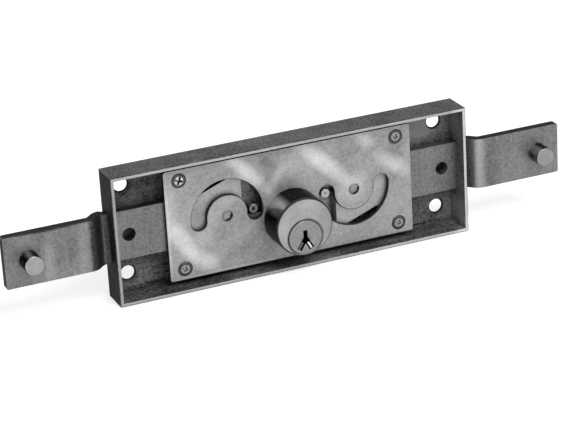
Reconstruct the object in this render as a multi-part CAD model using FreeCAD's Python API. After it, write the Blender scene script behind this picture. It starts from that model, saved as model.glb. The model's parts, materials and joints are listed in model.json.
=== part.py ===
import FreeCAD, Part
import math
import os

# Roller shutter lock: a flat case with a key cylinder that drives two bolt bars apart.
# Millimetres. X runs along the lock, Z is up, and the front of the lock faces -Y.
# The origin is the centre of the case's back face, so every depth in front of it is negative.

# Case, a tray of sheet steel that is open to the front
CASE_LENGTH = 155.0
CASE_HEIGHT = 55.0
CASE_DEPTH = 15.0
SHEET = 1.5
CASE_BACK_RADIUS = 2.0
CASE_CORNER_RADIUS = 0.6
FIXING_INSET = 8.5
FIXING_HOLE_R = 2.9

# Layers, from the case floor to the front
WASHER_T = 0.25
GEAR_T = 2.0
BAR_T = 4.0
COVER_T = 2.0

# Clearances
TURN_GAP = 0.05
SLIDE_GAP = 0.1
PRESS_GAP = 0.02
FLUSH_GAP = 0.1
WINDOW_GAP = 0.3

# Cover plate and its corner screws on pillars
COVER_LENGTH = 108.0
COVER_HEIGHT = 47.2
COVER_CORNER_RADIUS = 1.0
COVER_SCREW_INSET_X = 6.5
COVER_SCREW_INSET_Z = 4.6
COVER_SCREW_R = 1.45
COVER_HEAD_R = 3.1
COVER_HEAD_RISE = 0.35
COVER_SCREW_LENGTH = 6.2
COVER_RECESS_LENGTH = 3.4
COVER_RECESS_WIDTH = 0.9
PILLAR_R = 2.3
PILLAR_TENON_R = 1.5
PILLAR_TAP_DEPTH = 5.0

# Pivot posts that carry the crank gears
PIVOT_SPACING = 56.0
JOURNAL_R = 2.5
POST_R = 1.6
POST_TENON_R = 1.25
POST_TAIL_R = 1.5
POST_HEAD_R = 2.4
POST_HEAD_RISE = 0.6
WASHER_R = 5.0

# Gears: one pinion behind the key cylinder drives both crank gears
GEAR_TEETH = 40
PINION_TEETH = 20
PRESSURE_ANGLE = math.radians(20.0)
ADDENDUM = 1.0
DEDENDUM = 1.25
TOOTH_PLAY = 0.1
HUB_R = 4.5
HUB_INSET = 0.2
BUSH_R = 5.5
BUSH_FLANGE_R = 6.5

# Crank studs, one on each crank gear
CRANK_R = 12.2
STUD_R = 2.0
STUD_TENON_R = 1.4
STUD_IN_COVER = 0.5
STUD_DIMPLE_R = 0.6
STUD_CHAMFER = 0.2
KIDNEY_GAP = 1.3
KIDNEY_OVERRUN = math.radians(3.3)

# Bolt bars
BAR_HEIGHT = 20.8
BAR_REACH = 122.0
BAR_END_GAP = 0.7
BAR_END_RADIUS = 0.8
JOGGLE = 4.0
JOGGLE_RUN = 4.0
JOGGLE_CLEAR = 3.0
BEND_RADIUS = 1.0
SHOULDER_START = 10.5
SHOULDER_ANGLE = math.radians(20.5)
ARM_WALL = 2.7
YOKE_GAP = 0.12
YOKE_END_GAP = 0.3
YOKE_CORNER_RADIUS = 1.5
PASSAGE_GAP = 0.25
LINK_HOLE_R = 2.75
LINK_HOLE_INSET = 8.3

# Rod pins near the outer ends of the bars
ROD_PIN_INSET = 10.0
ROD_PIN_R = 4.0
ROD_PIN_LENGTH = 7.5
ROD_PIN_TENON_R = 2.5
ROD_PIN_CHAMFER = 0.4

# Key cylinder: a round shell with the plug below its centre
BARREL_R = 12.3
BARREL_DROP = 6.3
BARREL_HEIGHT = 13.0
BARREL_EDGE_RADIUS = 0.5
PLUG_DROP = 10.77
PLUG_R = 6.5
PLUG_HEAD_R = 7.2
PLUG_HEAD_T = 1.2
PLUG_EDGE = 0.25
PLUG_BACK_GAP = 0.2
SPIGOT_R = 7.7
CHAMBER_BLOCK_WIDTH = 9.0
CHAMBER_BLOCK_TOP = 5.0
OPENING_GAP = 0.1
CYLINDER_SCREW_SPACING = 15.0
CYLINDER_SCREW_R = 1.25
CYLINDER_HEAD_R = 2.35
CYLINDER_SCREW_LENGTH = 7.5
CYLINDER_TAP_DEPTH = 6.5
CYLINDER_RECESS_LENGTH = 2.4
CYLINDER_RECESS_WIDTH = 0.7
CLIP_T = 0.6
CLIP_R = 7.4
CLIP_GROOVE_R = 5.9
CLIP_LAND = 0.5
CLIP_MOUTH = 9.4
TANG_R = 3.2
TANG_HALF = 2.0
TANG_INSET = 0.3

# Keyway: one blade slot up and two legs down
KEYWAY_HALF = 0.9
KEYWAY_TOP = 3.0
KEYWAY_HUB = -0.5
KEYWAY_LEG = 4.4
KEYWAY_LEG_ANGLE = math.radians(50.0)
KEYWAY_END = 2.0

# Pin stacks, in a row above the keyway
CHAMBER_PITCH = 3.2
CHAMBER_FIRST = 3.1
CHAMBER_R = 1.28
CHAMBER_FLOOR = 1.2
PIN_R = 1.2
PIN_TIP = 0.8
PIN_TIP_R = 0.5
KEY_PIN_LENGTHS = (3.6, 3.2, 2.9, 3.4, 3.0)
DRIVER_LENGTH = 3.4
SHEAR_GAP = 0.1
CAP_R = 1.45
CAP_SEAT = 3.8
SPRING_WIRE_R = 0.15
SPRING_TURNS = 7

# Depths that follow from the layers
floor_y = -SHEET
washer_y = floor_y - WASHER_T
gear_back = washer_y - TURN_GAP
gear_front = gear_back - GEAR_T
bar_back = gear_front - SLIDE_GAP
bar_front = bar_back - BAR_T
cover_back = bar_front - SLIDE_GAP
cover_front = cover_back - COVER_T
outer_back = bar_back - JOGGLE
outer_front = bar_front - JOGGLE
barrel_front = cover_front - BARREL_HEIGHT
plug_back = gear_front - PLUG_BACK_GAP
clip_back = plug_back - CLIP_LAND
clip_front = clip_back - CLIP_T
spigot_back = clip_front - TURN_GAP
stud_front = cover_back - STUD_IN_COVER

# Places that follow from the driving sizes
fixing_spacing_x = CASE_LENGTH - 2 * FIXING_INSET
fixing_spacing_z = CASE_HEIGHT - 2 * FIXING_INSET
cover_screw_spacing_x = COVER_LENGTH - 2 * COVER_SCREW_INSET_X
cover_screw_spacing_z = COVER_HEIGHT - 2 * COVER_SCREW_INSET_Z
pivot_x = PIVOT_SPACING / 2
centre_distance = math.hypot(pivot_x, PLUG_DROP)
module = 2 * centre_distance / (GEAR_TEETH + PINION_TEETH)
kidney_half = STUD_R + KIDNEY_GAP
bar_half = BAR_HEIGHT / 2
bar_inner_x = SPIGOT_R + BAR_END_GAP
passage_half = POST_R + PASSAGE_GAP
link_hole_x = CASE_LENGTH / 2 - LINK_HOLE_INSET
rod_pin_x = BAR_REACH - ROD_PIN_INSET
joggle_inner_x = CASE_LENGTH / 2 + JOGGLE_CLEAR
joggle_outer_x = joggle_inner_x + JOGGLE_RUN
bend_shift = BAR_T * math.tan(math.atan2(JOGGLE, JOGGLE_RUN) / 2)
chamber_ys = [barrel_front + CHAMBER_FIRST + CHAMBER_PITCH * i for i in range(len(KEY_PIN_LENGTHS))]

# The bars are taken to slide evenly while the studs swing, so a stud wanders in its yoke by
# the greatest difference between the even travel and the swing.
lag_angle = math.asin(2 / math.pi)
stud_wander = CRANK_R * (2 * lag_angle / math.pi - 1 + math.cos(lag_angle))
yoke_half = stud_wander + STUD_R + YOKE_GAP
yoke_top = CRANK_R + STUD_R + YOKE_END_GAP
yoke_bottom = -(STUD_R + YOKE_END_GAP)
arm_top = yoke_top + ARM_WALL

FRONT_TO_BACK = FreeCAD.Vector(0, 1, 0)
UP = FreeCAD.Vector(0, 0, 1)


def vec(x, y, z):
    """A point or a direction."""
    return FreeCAD.Vector(x, y, z)


def disc(x, z, radius, front, back):
    """A round bar along Y, from the depth front to the depth back."""
    return Part.makeCylinder(radius, back - front, vec(x, front, z), FRONT_TO_BACK)


def cone(x, z, front_radius, back_radius, front, back):
    """A cone along Y."""
    return Part.makeCone(front_radius, back_radius, back - front, vec(x, front, z), FRONT_TO_BACK)


def block(left, right, front, back, bottom, top):
    """A box between six planes."""
    return Part.makeBox(right - left, back - front, top - bottom, vec(left, front, bottom))


def dome(x, z, radius, base, rise):
    """A shallow round cap that rises to the front from the depth base."""
    ball_radius = (radius ** 2 + rise ** 2) / (2 * rise)
    ball = Part.makeSphere(ball_radius, vec(x, base - rise + ball_radius, z))
    return ball.common(disc(x, z, radius, base - rise, base))


def joined(*shapes):
    """One solid from shapes that touch or overlap."""
    body = shapes[0]
    for shape in shapes[1:]:
        body = body.fuse(shape)
    return body.removeSplitter()


def cut(body, *tools):
    """The body without the tools."""
    return body.cut(Part.makeCompound(list(tools)))


def prism(edges, front, back):
    """A prism along Y from a closed outline drawn at depth zero."""
    face = Part.Face(Part.Wire(edges))
    face.translate(vec(0, front, 0))
    return face.extrude(vec(0, back - front, 0))


def polygon(points, front, back):
    """A prism along Y from corner points (x, z)."""
    outline = [vec(x, 0, z) for x, z in points]
    return prism(Part.makePolygon(outline + outline[:1]).Edges, front, back)


def along_y(shape):
    """The edges of a shape that run front to back."""
    return [e for e in shape.Edges if abs(abs(e.tangentAt(e.FirstParameter).y) - 1) < 1e-6]


def at_depth(shape, depth):
    """The edges of a shape that lie at one depth."""
    return [e for e in shape.Edges if all(abs(v.Y - depth) < 1e-6 for v in e.Vertexes)]


def turned_round(shape):
    """A copy turned half a turn about the lock's centre line."""
    copy = shape.copy()
    copy.rotate(vec(0, 0, 0), FRONT_TO_BACK, 180)
    return copy


def corners(spacing_x, spacing_z):
    """The four places (x, z) of a rectangular pattern about the centre."""
    return [(sx * spacing_x / 2, sz * spacing_z / 2) for sx in (-1, 1) for sz in (-1, 1)]


def cross_recess(x, z, length, width, depth, front):
    """A cross-shaped driver recess that opens to the front."""
    half, arm = width / 2, length / 2
    upright = block(x - half, x + half, front, front + depth, z - arm, z + arm)
    level = block(x - arm, x + arm, front, front + depth, z - half, z + half)
    return joined(upright, level)


def gear_outline(x, z, teeth, tooth_angle):
    """Edges of a spur gear about (x, z) with one tooth centred at tooth_angle."""
    pitch_r = module * teeth / 2
    base_r = pitch_r * math.cos(PRESSURE_ANGLE)
    tip_r = pitch_r + ADDENDUM * module
    root_r = pitch_r - DEDENDUM * module
    start_r = max(base_r, root_r)
    involute = math.tan(PRESSURE_ANGLE) - PRESSURE_ANGLE
    half_tooth = math.pi / (2 * teeth) - TOOTH_PLAY / (2 * pitch_r)

    def half_angle(radius):
        """Half the angle that a tooth spans at a radius on its flank."""
        slope = math.acos(min(1.0, base_r / radius))
        return half_tooth + involute - (math.tan(slope) - slope)

    def point(radius, angle):
        """A point at a radius and an angle about the gear's axis."""
        return vec(x + radius * math.cos(angle), 0, z + radius * math.sin(angle))

    edges = []
    flank_radii = (start_r, (start_r + tip_r) / 2, tip_r)
    step = 2 * math.pi / teeth
    for i in range(teeth):
        middle = tooth_angle + i * step
        rise = [point(r, middle - half_angle(r)) for r in flank_radii]
        fall = [point(r, middle + half_angle(r)) for r in reversed(flank_radii)]
        foot = point(root_r, middle + half_angle(start_r))
        next_foot = point(root_r, middle + step - half_angle(start_r))
        valley = point(root_r, middle + step / 2)
        if start_r > root_r:
            edges.append(Part.LineSegment(point(root_r, middle - half_angle(start_r)), rise[0]).toShape())
        edges.append(Part.Arc(*rise).toShape())
        edges.append(Part.Arc(rise[-1], point(tip_r, middle), fall[0]).toShape())
        edges.append(Part.Arc(*fall).toShape())
        if start_r > root_r:
            edges.append(Part.LineSegment(fall[-1], foot).toShape())
        edges.append(Part.Arc(foot, valley, next_foot).toShape())
    return edges


def crank_gear_tooth_angle(side):
    """The angle of a crank gear's tooth that meshes with the pinion's upright tooth."""
    to_gear = math.atan2(PLUG_DROP, side * pivot_x)
    pinion_step = 2 * math.pi / PINION_TEETH
    nearest = round((to_gear - math.pi / 2) / pinion_step) * pinion_step + math.pi / 2
    gap_angle = to_gear + math.pi - (nearest - to_gear) * PINION_TEETH / GEAR_TEETH
    return gap_angle + math.pi / GEAR_TEETH


def make_case():
    """The tray with its fixing holes, bar windows and seats for the pillars, posts and bush."""
    half_x, half_z = CASE_LENGTH / 2, CASE_HEIGHT / 2
    outer = block(-half_x, half_x, -CASE_DEPTH, 0, -half_z, half_z)
    outer = outer.makeFillet(CASE_CORNER_RADIUS, along_y(outer))
    outer = outer.makeFillet(CASE_BACK_RADIUS, at_depth(outer, 0))
    room = block(SHEET - half_x, half_x - SHEET, -CASE_DEPTH, floor_y, SHEET - half_z, half_z - SHEET)
    window_z = bar_half + WINDOW_GAP
    windows = block(-half_x, half_x, bar_front - WINDOW_GAP, bar_back + WINDOW_GAP, -window_z, window_z)
    tools = [room, windows]
    tools += [disc(x, z, FIXING_HOLE_R, floor_y, 0) for x, z in corners(fixing_spacing_x, fixing_spacing_z)]
    pillar_places = corners(cover_screw_spacing_x, cover_screw_spacing_z)
    tools += [disc(x, z, PILLAR_TENON_R + PRESS_GAP, floor_y, 0) for x, z in pillar_places]
    tools += [disc(x, 0, POST_TAIL_R + PRESS_GAP, floor_y, 0) for x in (-pivot_x, pivot_x)]
    tools.append(disc(0, -PLUG_DROP, BUSH_R + PRESS_GAP, floor_y, 0))
    return cut(outer, *tools)


def kidney(side):
    """The curved slot that clears a crank stud, over the left pivot and under the right one."""
    x, up = side * pivot_x, -side
    outer_r, inner_r = CRANK_R + kidney_half, CRANK_R - kidney_half
    first, top, last = -KIDNEY_OVERRUN, math.pi / 2, math.pi + KIDNEY_OVERRUN

    def place(radius, angle, onward=0):
        """A place at a radius and an angle about the pivot, and a distance onward from there."""
        cos, sin = math.cos(angle), math.sin(angle)
        return vec(x + radius * cos - onward * sin, 0, up * (radius * sin + onward * cos))

    arcs = [
        (place(outer_r, first), place(outer_r, top), place(outer_r, last)),
        (place(outer_r, last), place(CRANK_R, last, kidney_half), place(inner_r, last)),
        (place(inner_r, last), place(inner_r, top), place(inner_r, first)),
        (place(inner_r, first), place(CRANK_R, first, -kidney_half), place(outer_r, first)),
    ]
    return prism([Part.Arc(*arc).toShape() for arc in arcs], cover_front, cover_back)


def cylinder_nose(gap, front, back):
    """The keyhole-shaped rear of the cylinder, grown by a gap."""
    half = CHAMBER_BLOCK_WIDTH / 2 + gap
    round_part = disc(0, -PLUG_DROP, SPIGOT_R + gap, front, back)
    upper_part = block(-half, half, front, back, -PLUG_DROP, CHAMBER_BLOCK_TOP + gap)
    return joined(round_part, upper_part)


def make_cover_plate():
    """The plate over the mechanism, with the stud slots, the cylinder's opening and screw seats."""
    half_x, half_z = COVER_LENGTH / 2, COVER_HEIGHT / 2
    plate = block(-half_x, half_x, cover_front, cover_back, -half_z, half_z)
    plate = plate.makeFillet(COVER_CORNER_RADIUS, along_y(plate))
    tools = [kidney(-1), kidney(1), cylinder_nose(OPENING_GAP, cover_front, cover_back)]
    head_depth = COVER_HEAD_R - COVER_SCREW_R
    for x, z in corners(cover_screw_spacing_x, cover_screw_spacing_z):
        seat_r, hole_r = COVER_HEAD_R + TURN_GAP, COVER_SCREW_R + TURN_GAP
        seat = cone(x, z, seat_r, hole_r, cover_front, cover_front + head_depth)
        tools.append(joined(seat, disc(x, z, hole_r, cover_front, cover_back)))
    head_depth = CYLINDER_HEAD_R - CYLINDER_SCREW_R
    for x in (-CYLINDER_SCREW_SPACING / 2, CYLINDER_SCREW_SPACING / 2):
        seat_r, hole_r = CYLINDER_HEAD_R + TURN_GAP, CYLINDER_SCREW_R + TURN_GAP
        seat = cone(x, 0, hole_r, seat_r, cover_back - head_depth, cover_back)
        tools.append(joined(seat, disc(x, 0, hole_r, cover_front, cover_back)))
    tools += [disc(x, 0, POST_TENON_R + PRESS_GAP, cover_front, cover_back) for x in (-pivot_x, pivot_x)]
    return cut(plate, *tools)


def make_corner_pillars():
    """Four tapped pillars riveted into the case floor."""
    pillars = []
    for x, z in corners(cover_screw_spacing_x, cover_screw_spacing_z):
        stem = disc(x, z, PILLAR_R, cover_back, floor_y)
        tenon = disc(x, z, PILLAR_TENON_R, floor_y, -FLUSH_GAP)
        tapped = disc(x, z, COVER_SCREW_R + PRESS_GAP, cover_back, cover_back + PILLAR_TAP_DEPTH)
        pillars.append(joined(stem, tenon).cut(tapped))
    return Part.makeCompound(pillars)


def make_cover_screws():
    """Four raised countersunk screws with a cross recess."""
    screws = []
    head_depth = COVER_HEAD_R - COVER_SCREW_R
    top = cover_front - COVER_HEAD_RISE
    for x, z in corners(cover_screw_spacing_x, cover_screw_spacing_z):
        cap = dome(x, z, COVER_HEAD_R, cover_front, COVER_HEAD_RISE)
        head = cone(x, z, COVER_HEAD_R, COVER_SCREW_R, cover_front, cover_front + head_depth)
        shank = disc(x, z, COVER_SCREW_R, cover_front, cover_front + COVER_SCREW_LENGTH)
        recess = cross_recess(x, z, COVER_RECESS_LENGTH, COVER_RECESS_WIDTH, head_depth, top)
        screws.append(joined(cap, head, shank).cut(recess))
    return Part.makeCompound(screws)


def make_pivot_post(side):
    """A stepped post, riveted into the floor and the cover, that carries one crank gear."""
    x = side * pivot_x
    tail = disc(x, 0, POST_TAIL_R, floor_y, -FLUSH_GAP)
    journal = disc(x, 0, JOURNAL_R, gear_front - TURN_GAP, floor_y)
    neck = disc(x, 0, POST_R, cover_back, gear_front)
    tenon = disc(x, 0, POST_TENON_R, cover_front, cover_back)
    head = dome(x, 0, POST_HEAD_R, cover_front, POST_HEAD_RISE)
    return joined(journal, tail, neck, tenon, head)


def make_crank_washers():
    """Two thin washers between the crank gears and the floor."""
    washers = []
    for x in (-pivot_x, pivot_x):
        ring = disc(x, 0, WASHER_R, washer_y, floor_y)
        washers.append(ring.cut(disc(x, 0, JOURNAL_R + TURN_GAP, washer_y, floor_y)))
    return Part.makeCompound(washers)


def make_crank_gear(side):
    """A flat gear that turns on its post, with a seat for the crank stud."""
    x = side * pivot_x
    teeth = gear_outline(x, 0, GEAR_TEETH, crank_gear_tooth_angle(side))
    bore = disc(x, 0, JOURNAL_R + TURN_GAP, gear_front, gear_back)
    stud_seat = disc(x - side * CRANK_R, 0, STUD_TENON_R + PRESS_GAP, gear_front, gear_back)
    return cut(prism(teeth, gear_front, gear_back), bore, stud_seat)


def make_crank_stud(side):
    """The stud that swings with the crank gear and pushes the bar through its yoke."""
    x = side * (pivot_x - CRANK_R)
    pin = disc(x, 0, STUD_R, stud_front, gear_front)
    pin = pin.makeChamfer(STUD_CHAMFER, at_depth(pin, stud_front))
    tenon = disc(x, 0, STUD_TENON_R, gear_front, gear_back - FLUSH_GAP)
    dimple = cone(x, 0, STUD_DIMPLE_R, 0, stud_front, stud_front + STUD_DIMPLE_R)
    return joined(pin, tenon).cut(dimple)


def make_drive_pinion():
    """The pinion on the plug's tang, with a hub that runs in the bush."""
    teeth = prism(gear_outline(0, -PLUG_DROP, PINION_TEETH, math.pi / 2), gear_front, gear_back)
    hub = disc(0, -PLUG_DROP, HUB_R, gear_back, -HUB_INSET)
    return joined(teeth, hub).cut(tang(TURN_GAP, gear_front, 0))


def make_pinion_bush():
    """The flanged bush in the case floor."""
    flange = disc(0, -PLUG_DROP, BUSH_FLANGE_R, washer_y, floor_y)
    sleeve = disc(0, -PLUG_DROP, BUSH_R, floor_y, -FLUSH_GAP)
    bore = disc(0, -PLUG_DROP, HUB_R + TURN_GAP, washer_y, 0)
    return joined(flange, sleeve).cut(bore)


def bar_side_view():
    """The bar's joggled strip, as wide as the yoke arm is high and bent at an even thickness."""
    inner, outer = -bar_inner_x, -BAR_REACH
    front_in, front_out = (-joggle_inner_x, bar_front), (-joggle_outer_x, outer_front)
    back_in, back_out = (-joggle_inner_x - bend_shift, bar_back), (-joggle_outer_x - bend_shift, outer_back)
    line = [(inner, bar_front), front_in, front_out, (outer, outer_front)]
    line += [(outer, outer_back), back_out, back_in, (inner, bar_back)]
    points = [vec(x, y, -bar_half) for x, y in line]
    face = Part.Face(Part.makePolygon(points + points[:1]))
    strip = face.extrude(vec(0, 0, bar_half + arm_top))
    strip = strip.makeFillet(BEND_RADIUS, bend_edges(strip, front_in, back_out))
    return strip.makeFillet(BEND_RADIUS + BAR_T, bend_edges(strip, front_out, back_in))


def bend_edges(strip, *places):
    """The upright edges of the strip at the given places (x, y)."""
    return [
        e for e in strip.Edges
        for x, y in places
        if all(abs(v.X - x) < 1e-6 and abs(v.Y - y) < 1e-6 for v in e.Vertexes)
    ]


def make_left_bar():
    """The left bolt bar: a strip with a raised yoke arm, a passage for the post and two holes."""
    shoulder_x = SHOULDER_START - (arm_top - bar_half) / math.tan(SHOULDER_ANGLE)
    outline = polygon([
        (-BAR_REACH, -bar_half),
        (-bar_inner_x, -bar_half),
        (-bar_inner_x, arm_top),
        (-pivot_x - shoulder_x, arm_top),
        (-pivot_x - SHOULDER_START, bar_half),
        (-BAR_REACH, bar_half),
    ], outer_front, bar_back)
    end_edges = [e for e in along_y(outline) if abs(e.Vertexes[0].X + BAR_REACH) < 1e-6]
    outline = outline.makeFillet(BAR_END_RADIUS, end_edges)
    yoke_x = -pivot_x + CRANK_R
    yoke = block(yoke_x - yoke_half, yoke_x + yoke_half, bar_front, bar_back, yoke_bottom, yoke_top)
    yoke = yoke.makeFillet(YOKE_CORNER_RADIUS, along_y(yoke))
    passage = block(-pivot_x, -bar_inner_x, bar_front, bar_back, -passage_half, passage_half)
    passage_end = disc(-pivot_x, 0, passage_half, bar_front, bar_back)
    link_hole = disc(-link_hole_x, 0, LINK_HOLE_R, bar_front, bar_back)
    pin_seat = disc(-rod_pin_x, 0, ROD_PIN_TENON_R + PRESS_GAP, outer_front, outer_back)
    bar = bar_side_view().common(outline)
    return cut(bar, joined(yoke, passage, passage_end), link_hole, pin_seat)


def make_left_rod_pin():
    """The pin that a shutter rod hooks over, riveted through the left bar."""
    front = outer_front - ROD_PIN_LENGTH
    pin = disc(-rod_pin_x, 0, ROD_PIN_R, front, outer_front)
    pin = pin.makeChamfer(ROD_PIN_CHAMFER, at_depth(pin, front))
    tenon = disc(-rod_pin_x, 0, ROD_PIN_TENON_R, outer_front, outer_back)
    return joined(pin, tenon)


def tang(gap, front, back):
    """The plug's two-sided tail, grown by a gap."""
    round_part = disc(0, -PLUG_DROP, TANG_R + gap, front, back)
    half = TANG_HALF + gap
    flats = block(-half, half, front, back, -PLUG_DROP - TANG_R - gap, -PLUG_DROP + TANG_R + gap)
    return round_part.common(flats)


def chamber(y, bottom, top):
    """One upright pin chamber, measured from the plug's axis."""
    return Part.makeCylinder(CHAMBER_R, top - bottom, vec(0, y, bottom - PLUG_DROP), UP)


def make_cylinder_shell():
    """The cylinder's body: a round barrel with a keyhole-shaped rear and five pin chambers."""
    barrel = disc(0, -BARREL_DROP, BARREL_R, barrel_front, cover_front)
    barrel = barrel.makeFillet(BARREL_EDGE_RADIUS, at_depth(barrel, barrel_front))
    shell = joined(barrel, cylinder_nose(0, cover_front, spigot_back))
    bore_r, head_bore_r = PLUG_R + TURN_GAP, PLUG_HEAD_R + TURN_GAP
    head_back = barrel_front + PLUG_HEAD_T + TURN_GAP
    mouth = cone(0, -PLUG_DROP, head_bore_r + PLUG_EDGE, head_bore_r, barrel_front, barrel_front + PLUG_EDGE)
    tools = [
        joined(mouth, disc(0, -PLUG_DROP, head_bore_r, barrel_front, head_back)),
        disc(0, -PLUG_DROP, bore_r, barrel_front, spigot_back),
    ]
    for y in chamber_ys:
        tools.append(chamber(y, 0, CAP_SEAT + PLUG_DROP))
        tools.append(Part.makeCylinder(CAP_R + PRESS_GAP, BARREL_R, vec(0, y, CAP_SEAT), UP))
    for x in (-CYLINDER_SCREW_SPACING / 2, CYLINDER_SCREW_SPACING / 2):
        tools.append(disc(x, 0, CYLINDER_SCREW_R + PRESS_GAP, cover_front - CYLINDER_TAP_DEPTH, cover_front))
    return cut(shell, *tools)


def keyway():
    """The key's passage through the plug: an upright slot and two splayed legs."""
    hub_z = -PLUG_DROP + KEYWAY_HUB
    back = spigot_back - KEYWAY_END
    slot = block(-KEYWAY_HALF, KEYWAY_HALF, barrel_front, back, hub_z, -PLUG_DROP + KEYWAY_TOP)
    legs = []
    for side in (-1, 1):
        leg = block(-KEYWAY_HALF, KEYWAY_HALF, barrel_front, back, hub_z - KEYWAY_LEG, hub_z)
        leg.rotate(vec(0, 0, hub_z), FRONT_TO_BACK, side * (90 - math.degrees(KEYWAY_LEG_ANGLE)))
        legs.append(leg)
    return joined(slot, disc(0, hub_z, KEYWAY_HALF, barrel_front, back), *legs)


def make_cylinder_plug():
    """The plug: head, body with chambers and keyway, clip groove and tang."""
    head = disc(0, -PLUG_DROP, PLUG_HEAD_R, barrel_front, barrel_front + PLUG_HEAD_T)
    head = head.makeChamfer(PLUG_EDGE, at_depth(head, barrel_front))
    body = disc(0, -PLUG_DROP, PLUG_R, barrel_front + PLUG_HEAD_T, plug_back)
    tail = tang(0, plug_back, -TANG_INSET)
    groove_front, groove_back = clip_front - PRESS_GAP, clip_back + PRESS_GAP
    land = disc(0, -PLUG_DROP, PLUG_R, groove_front, groove_back)
    groove = land.cut(disc(0, -PLUG_DROP, CLIP_GROOVE_R, groove_front, groove_back))
    tools = [chamber(y, CHAMBER_FLOOR, PLUG_R) for y in chamber_ys]
    return cut(joined(head, body, tail), keyway(), groove, *tools)


def make_plug_clip():
    """The open ring that holds the plug in the shell."""
    ring = disc(0, -PLUG_DROP, CLIP_R, clip_front, clip_back)
    inner_r = CLIP_GROOVE_R + PRESS_GAP
    half = CLIP_MOUTH / 2
    mouth = block(-half, half, clip_front, clip_back, -PLUG_DROP - CLIP_R, -PLUG_DROP)
    return ring.cut(joined(disc(0, -PLUG_DROP, inner_r, clip_front, clip_back), mouth))


def make_cylinder_screws():
    """Two countersunk screws that hold the shell to the cover from behind."""
    screws = []
    head_depth = CYLINDER_HEAD_R - CYLINDER_SCREW_R
    for x in (-CYLINDER_SCREW_SPACING / 2, CYLINDER_SCREW_SPACING / 2):
        head = cone(x, 0, CYLINDER_SCREW_R, CYLINDER_HEAD_R, cover_back - head_depth, cover_back)
        shank = disc(x, 0, CYLINDER_SCREW_R, cover_back - CYLINDER_SCREW_LENGTH, cover_back)
        length, width = CYLINDER_RECESS_LENGTH, CYLINDER_RECESS_WIDTH
        recess = cross_recess(x, 0, length, width, head_depth, cover_back - head_depth)
        screws.append(joined(head, shank).cut(recess))
    return Part.makeCompound(screws)


def make_chamber_caps():
    """Five caps pressed into the chambers and turned flush with the shell."""
    outside = joined(
        disc(0, -BARREL_DROP, BARREL_R, barrel_front, cover_front),
        cylinder_nose(0, cover_front, spigot_back),
    )
    caps = []
    for y in chamber_ys:
        plug = Part.makeCylinder(CAP_R, BARREL_R, vec(0, y, CAP_SEAT), UP)
        caps.append(plug.common(outside))
    return Part.makeCompound(caps)


def make_key_pin(y, length):
    """A key pin with its top at the shear line and a blunt point in the keyway."""
    top = math.sqrt(PLUG_R ** 2 - PIN_R ** 2) - PRESS_GAP - PLUG_DROP
    shank = Part.makeCylinder(PIN_R, length - PIN_TIP, vec(0, y, top - length + PIN_TIP), UP)
    tip = Part.makeCone(PIN_TIP_R, PIN_R, PIN_TIP, vec(0, y, top - length), UP)
    return joined(shank, tip)


def driver_bottom():
    """Where the driver pins stand, just clear of the turning plug."""
    return PLUG_R + SHEAR_GAP - PLUG_DROP


def make_driver_pin(y):
    """A driver pin that stands just above the shear line."""
    return Part.makeCylinder(PIN_R, DRIVER_LENGTH, vec(0, y, driver_bottom()), UP)


def make_pin_spring(y):
    """A coil spring between a driver pin and its cap."""
    bottom = driver_bottom() + DRIVER_LENGTH + SPRING_WIRE_R + PRESS_GAP
    top = CAP_SEAT - SPRING_WIRE_R - PRESS_GAP
    coil_r = PIN_R - 2 * SPRING_WIRE_R
    helix = Part.makeHelix((top - bottom) / SPRING_TURNS, top - bottom, coil_r)
    circle = Part.Circle(vec(coil_r, 0, 0), FRONT_TO_BACK, SPRING_WIRE_R).toShape()
    coil = Part.Wire(helix.Edges).makePipeShell([Part.Wire(circle)], True, True)
    coil.translate(vec(0, y, bottom))
    return coil


def make_all():
    """Every piece of the lock under its name."""
    left_bar = make_left_bar()
    left_rod_pin = make_left_rod_pin()
    pieces = {
        "case": make_case(),
        "cover_plate": make_cover_plate(),
        "corner_pillars": make_corner_pillars(),
        "cover_screws": make_cover_screws(),
        "crank_washers": make_crank_washers(),
        "drive_pinion": make_drive_pinion(),
        "pinion_bush": make_pinion_bush(),
        "bolt_bar_left": left_bar,
        "bolt_bar_right": turned_round(left_bar),
        "rod_pin_left": left_rod_pin,
        "rod_pin_right": turned_round(left_rod_pin),
        "cylinder_shell": make_cylinder_shell(),
        "cylinder_plug": make_cylinder_plug(),
        "plug_clip": make_plug_clip(),
        "cylinder_screws": make_cylinder_screws(),
        "chamber_caps": make_chamber_caps(),
    }
    for name, side in (("left", -1), ("right", 1)):
        pieces["pivot_post_" + name] = make_pivot_post(side)
        pieces["crank_gear_" + name] = make_crank_gear(side)
        pieces["crank_stud_" + name] = make_crank_stud(side)
    for number, (y, length) in enumerate(zip(chamber_ys, KEY_PIN_LENGTHS), start=1):
        pieces["key_pin_%d" % number] = make_key_pin(y, length)
        pieces["driver_pin_%d" % number] = make_driver_pin(y)
        pieces["pin_spring_%d" % number] = make_pin_spring(y)
    return pieces


os.makedirs("parts", exist_ok=True)
for name, shape in make_all().items():
    shape.exportStep("parts/" + name + ".step")
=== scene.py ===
"""The looks of a roller shutter lock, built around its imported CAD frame.

A flat steel case, open to the front, holds a cover plate, a round key cylinder, two crank gears
and two cranked bolt bars. Each sub-assembly is a class that models and dresses its own pieces.
Sizes are millimetres in the lock's axes: X runs along the bars, Z is up and the front faces -Y.
A finished piece is scaled to metres in its mesh.
"""

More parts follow.
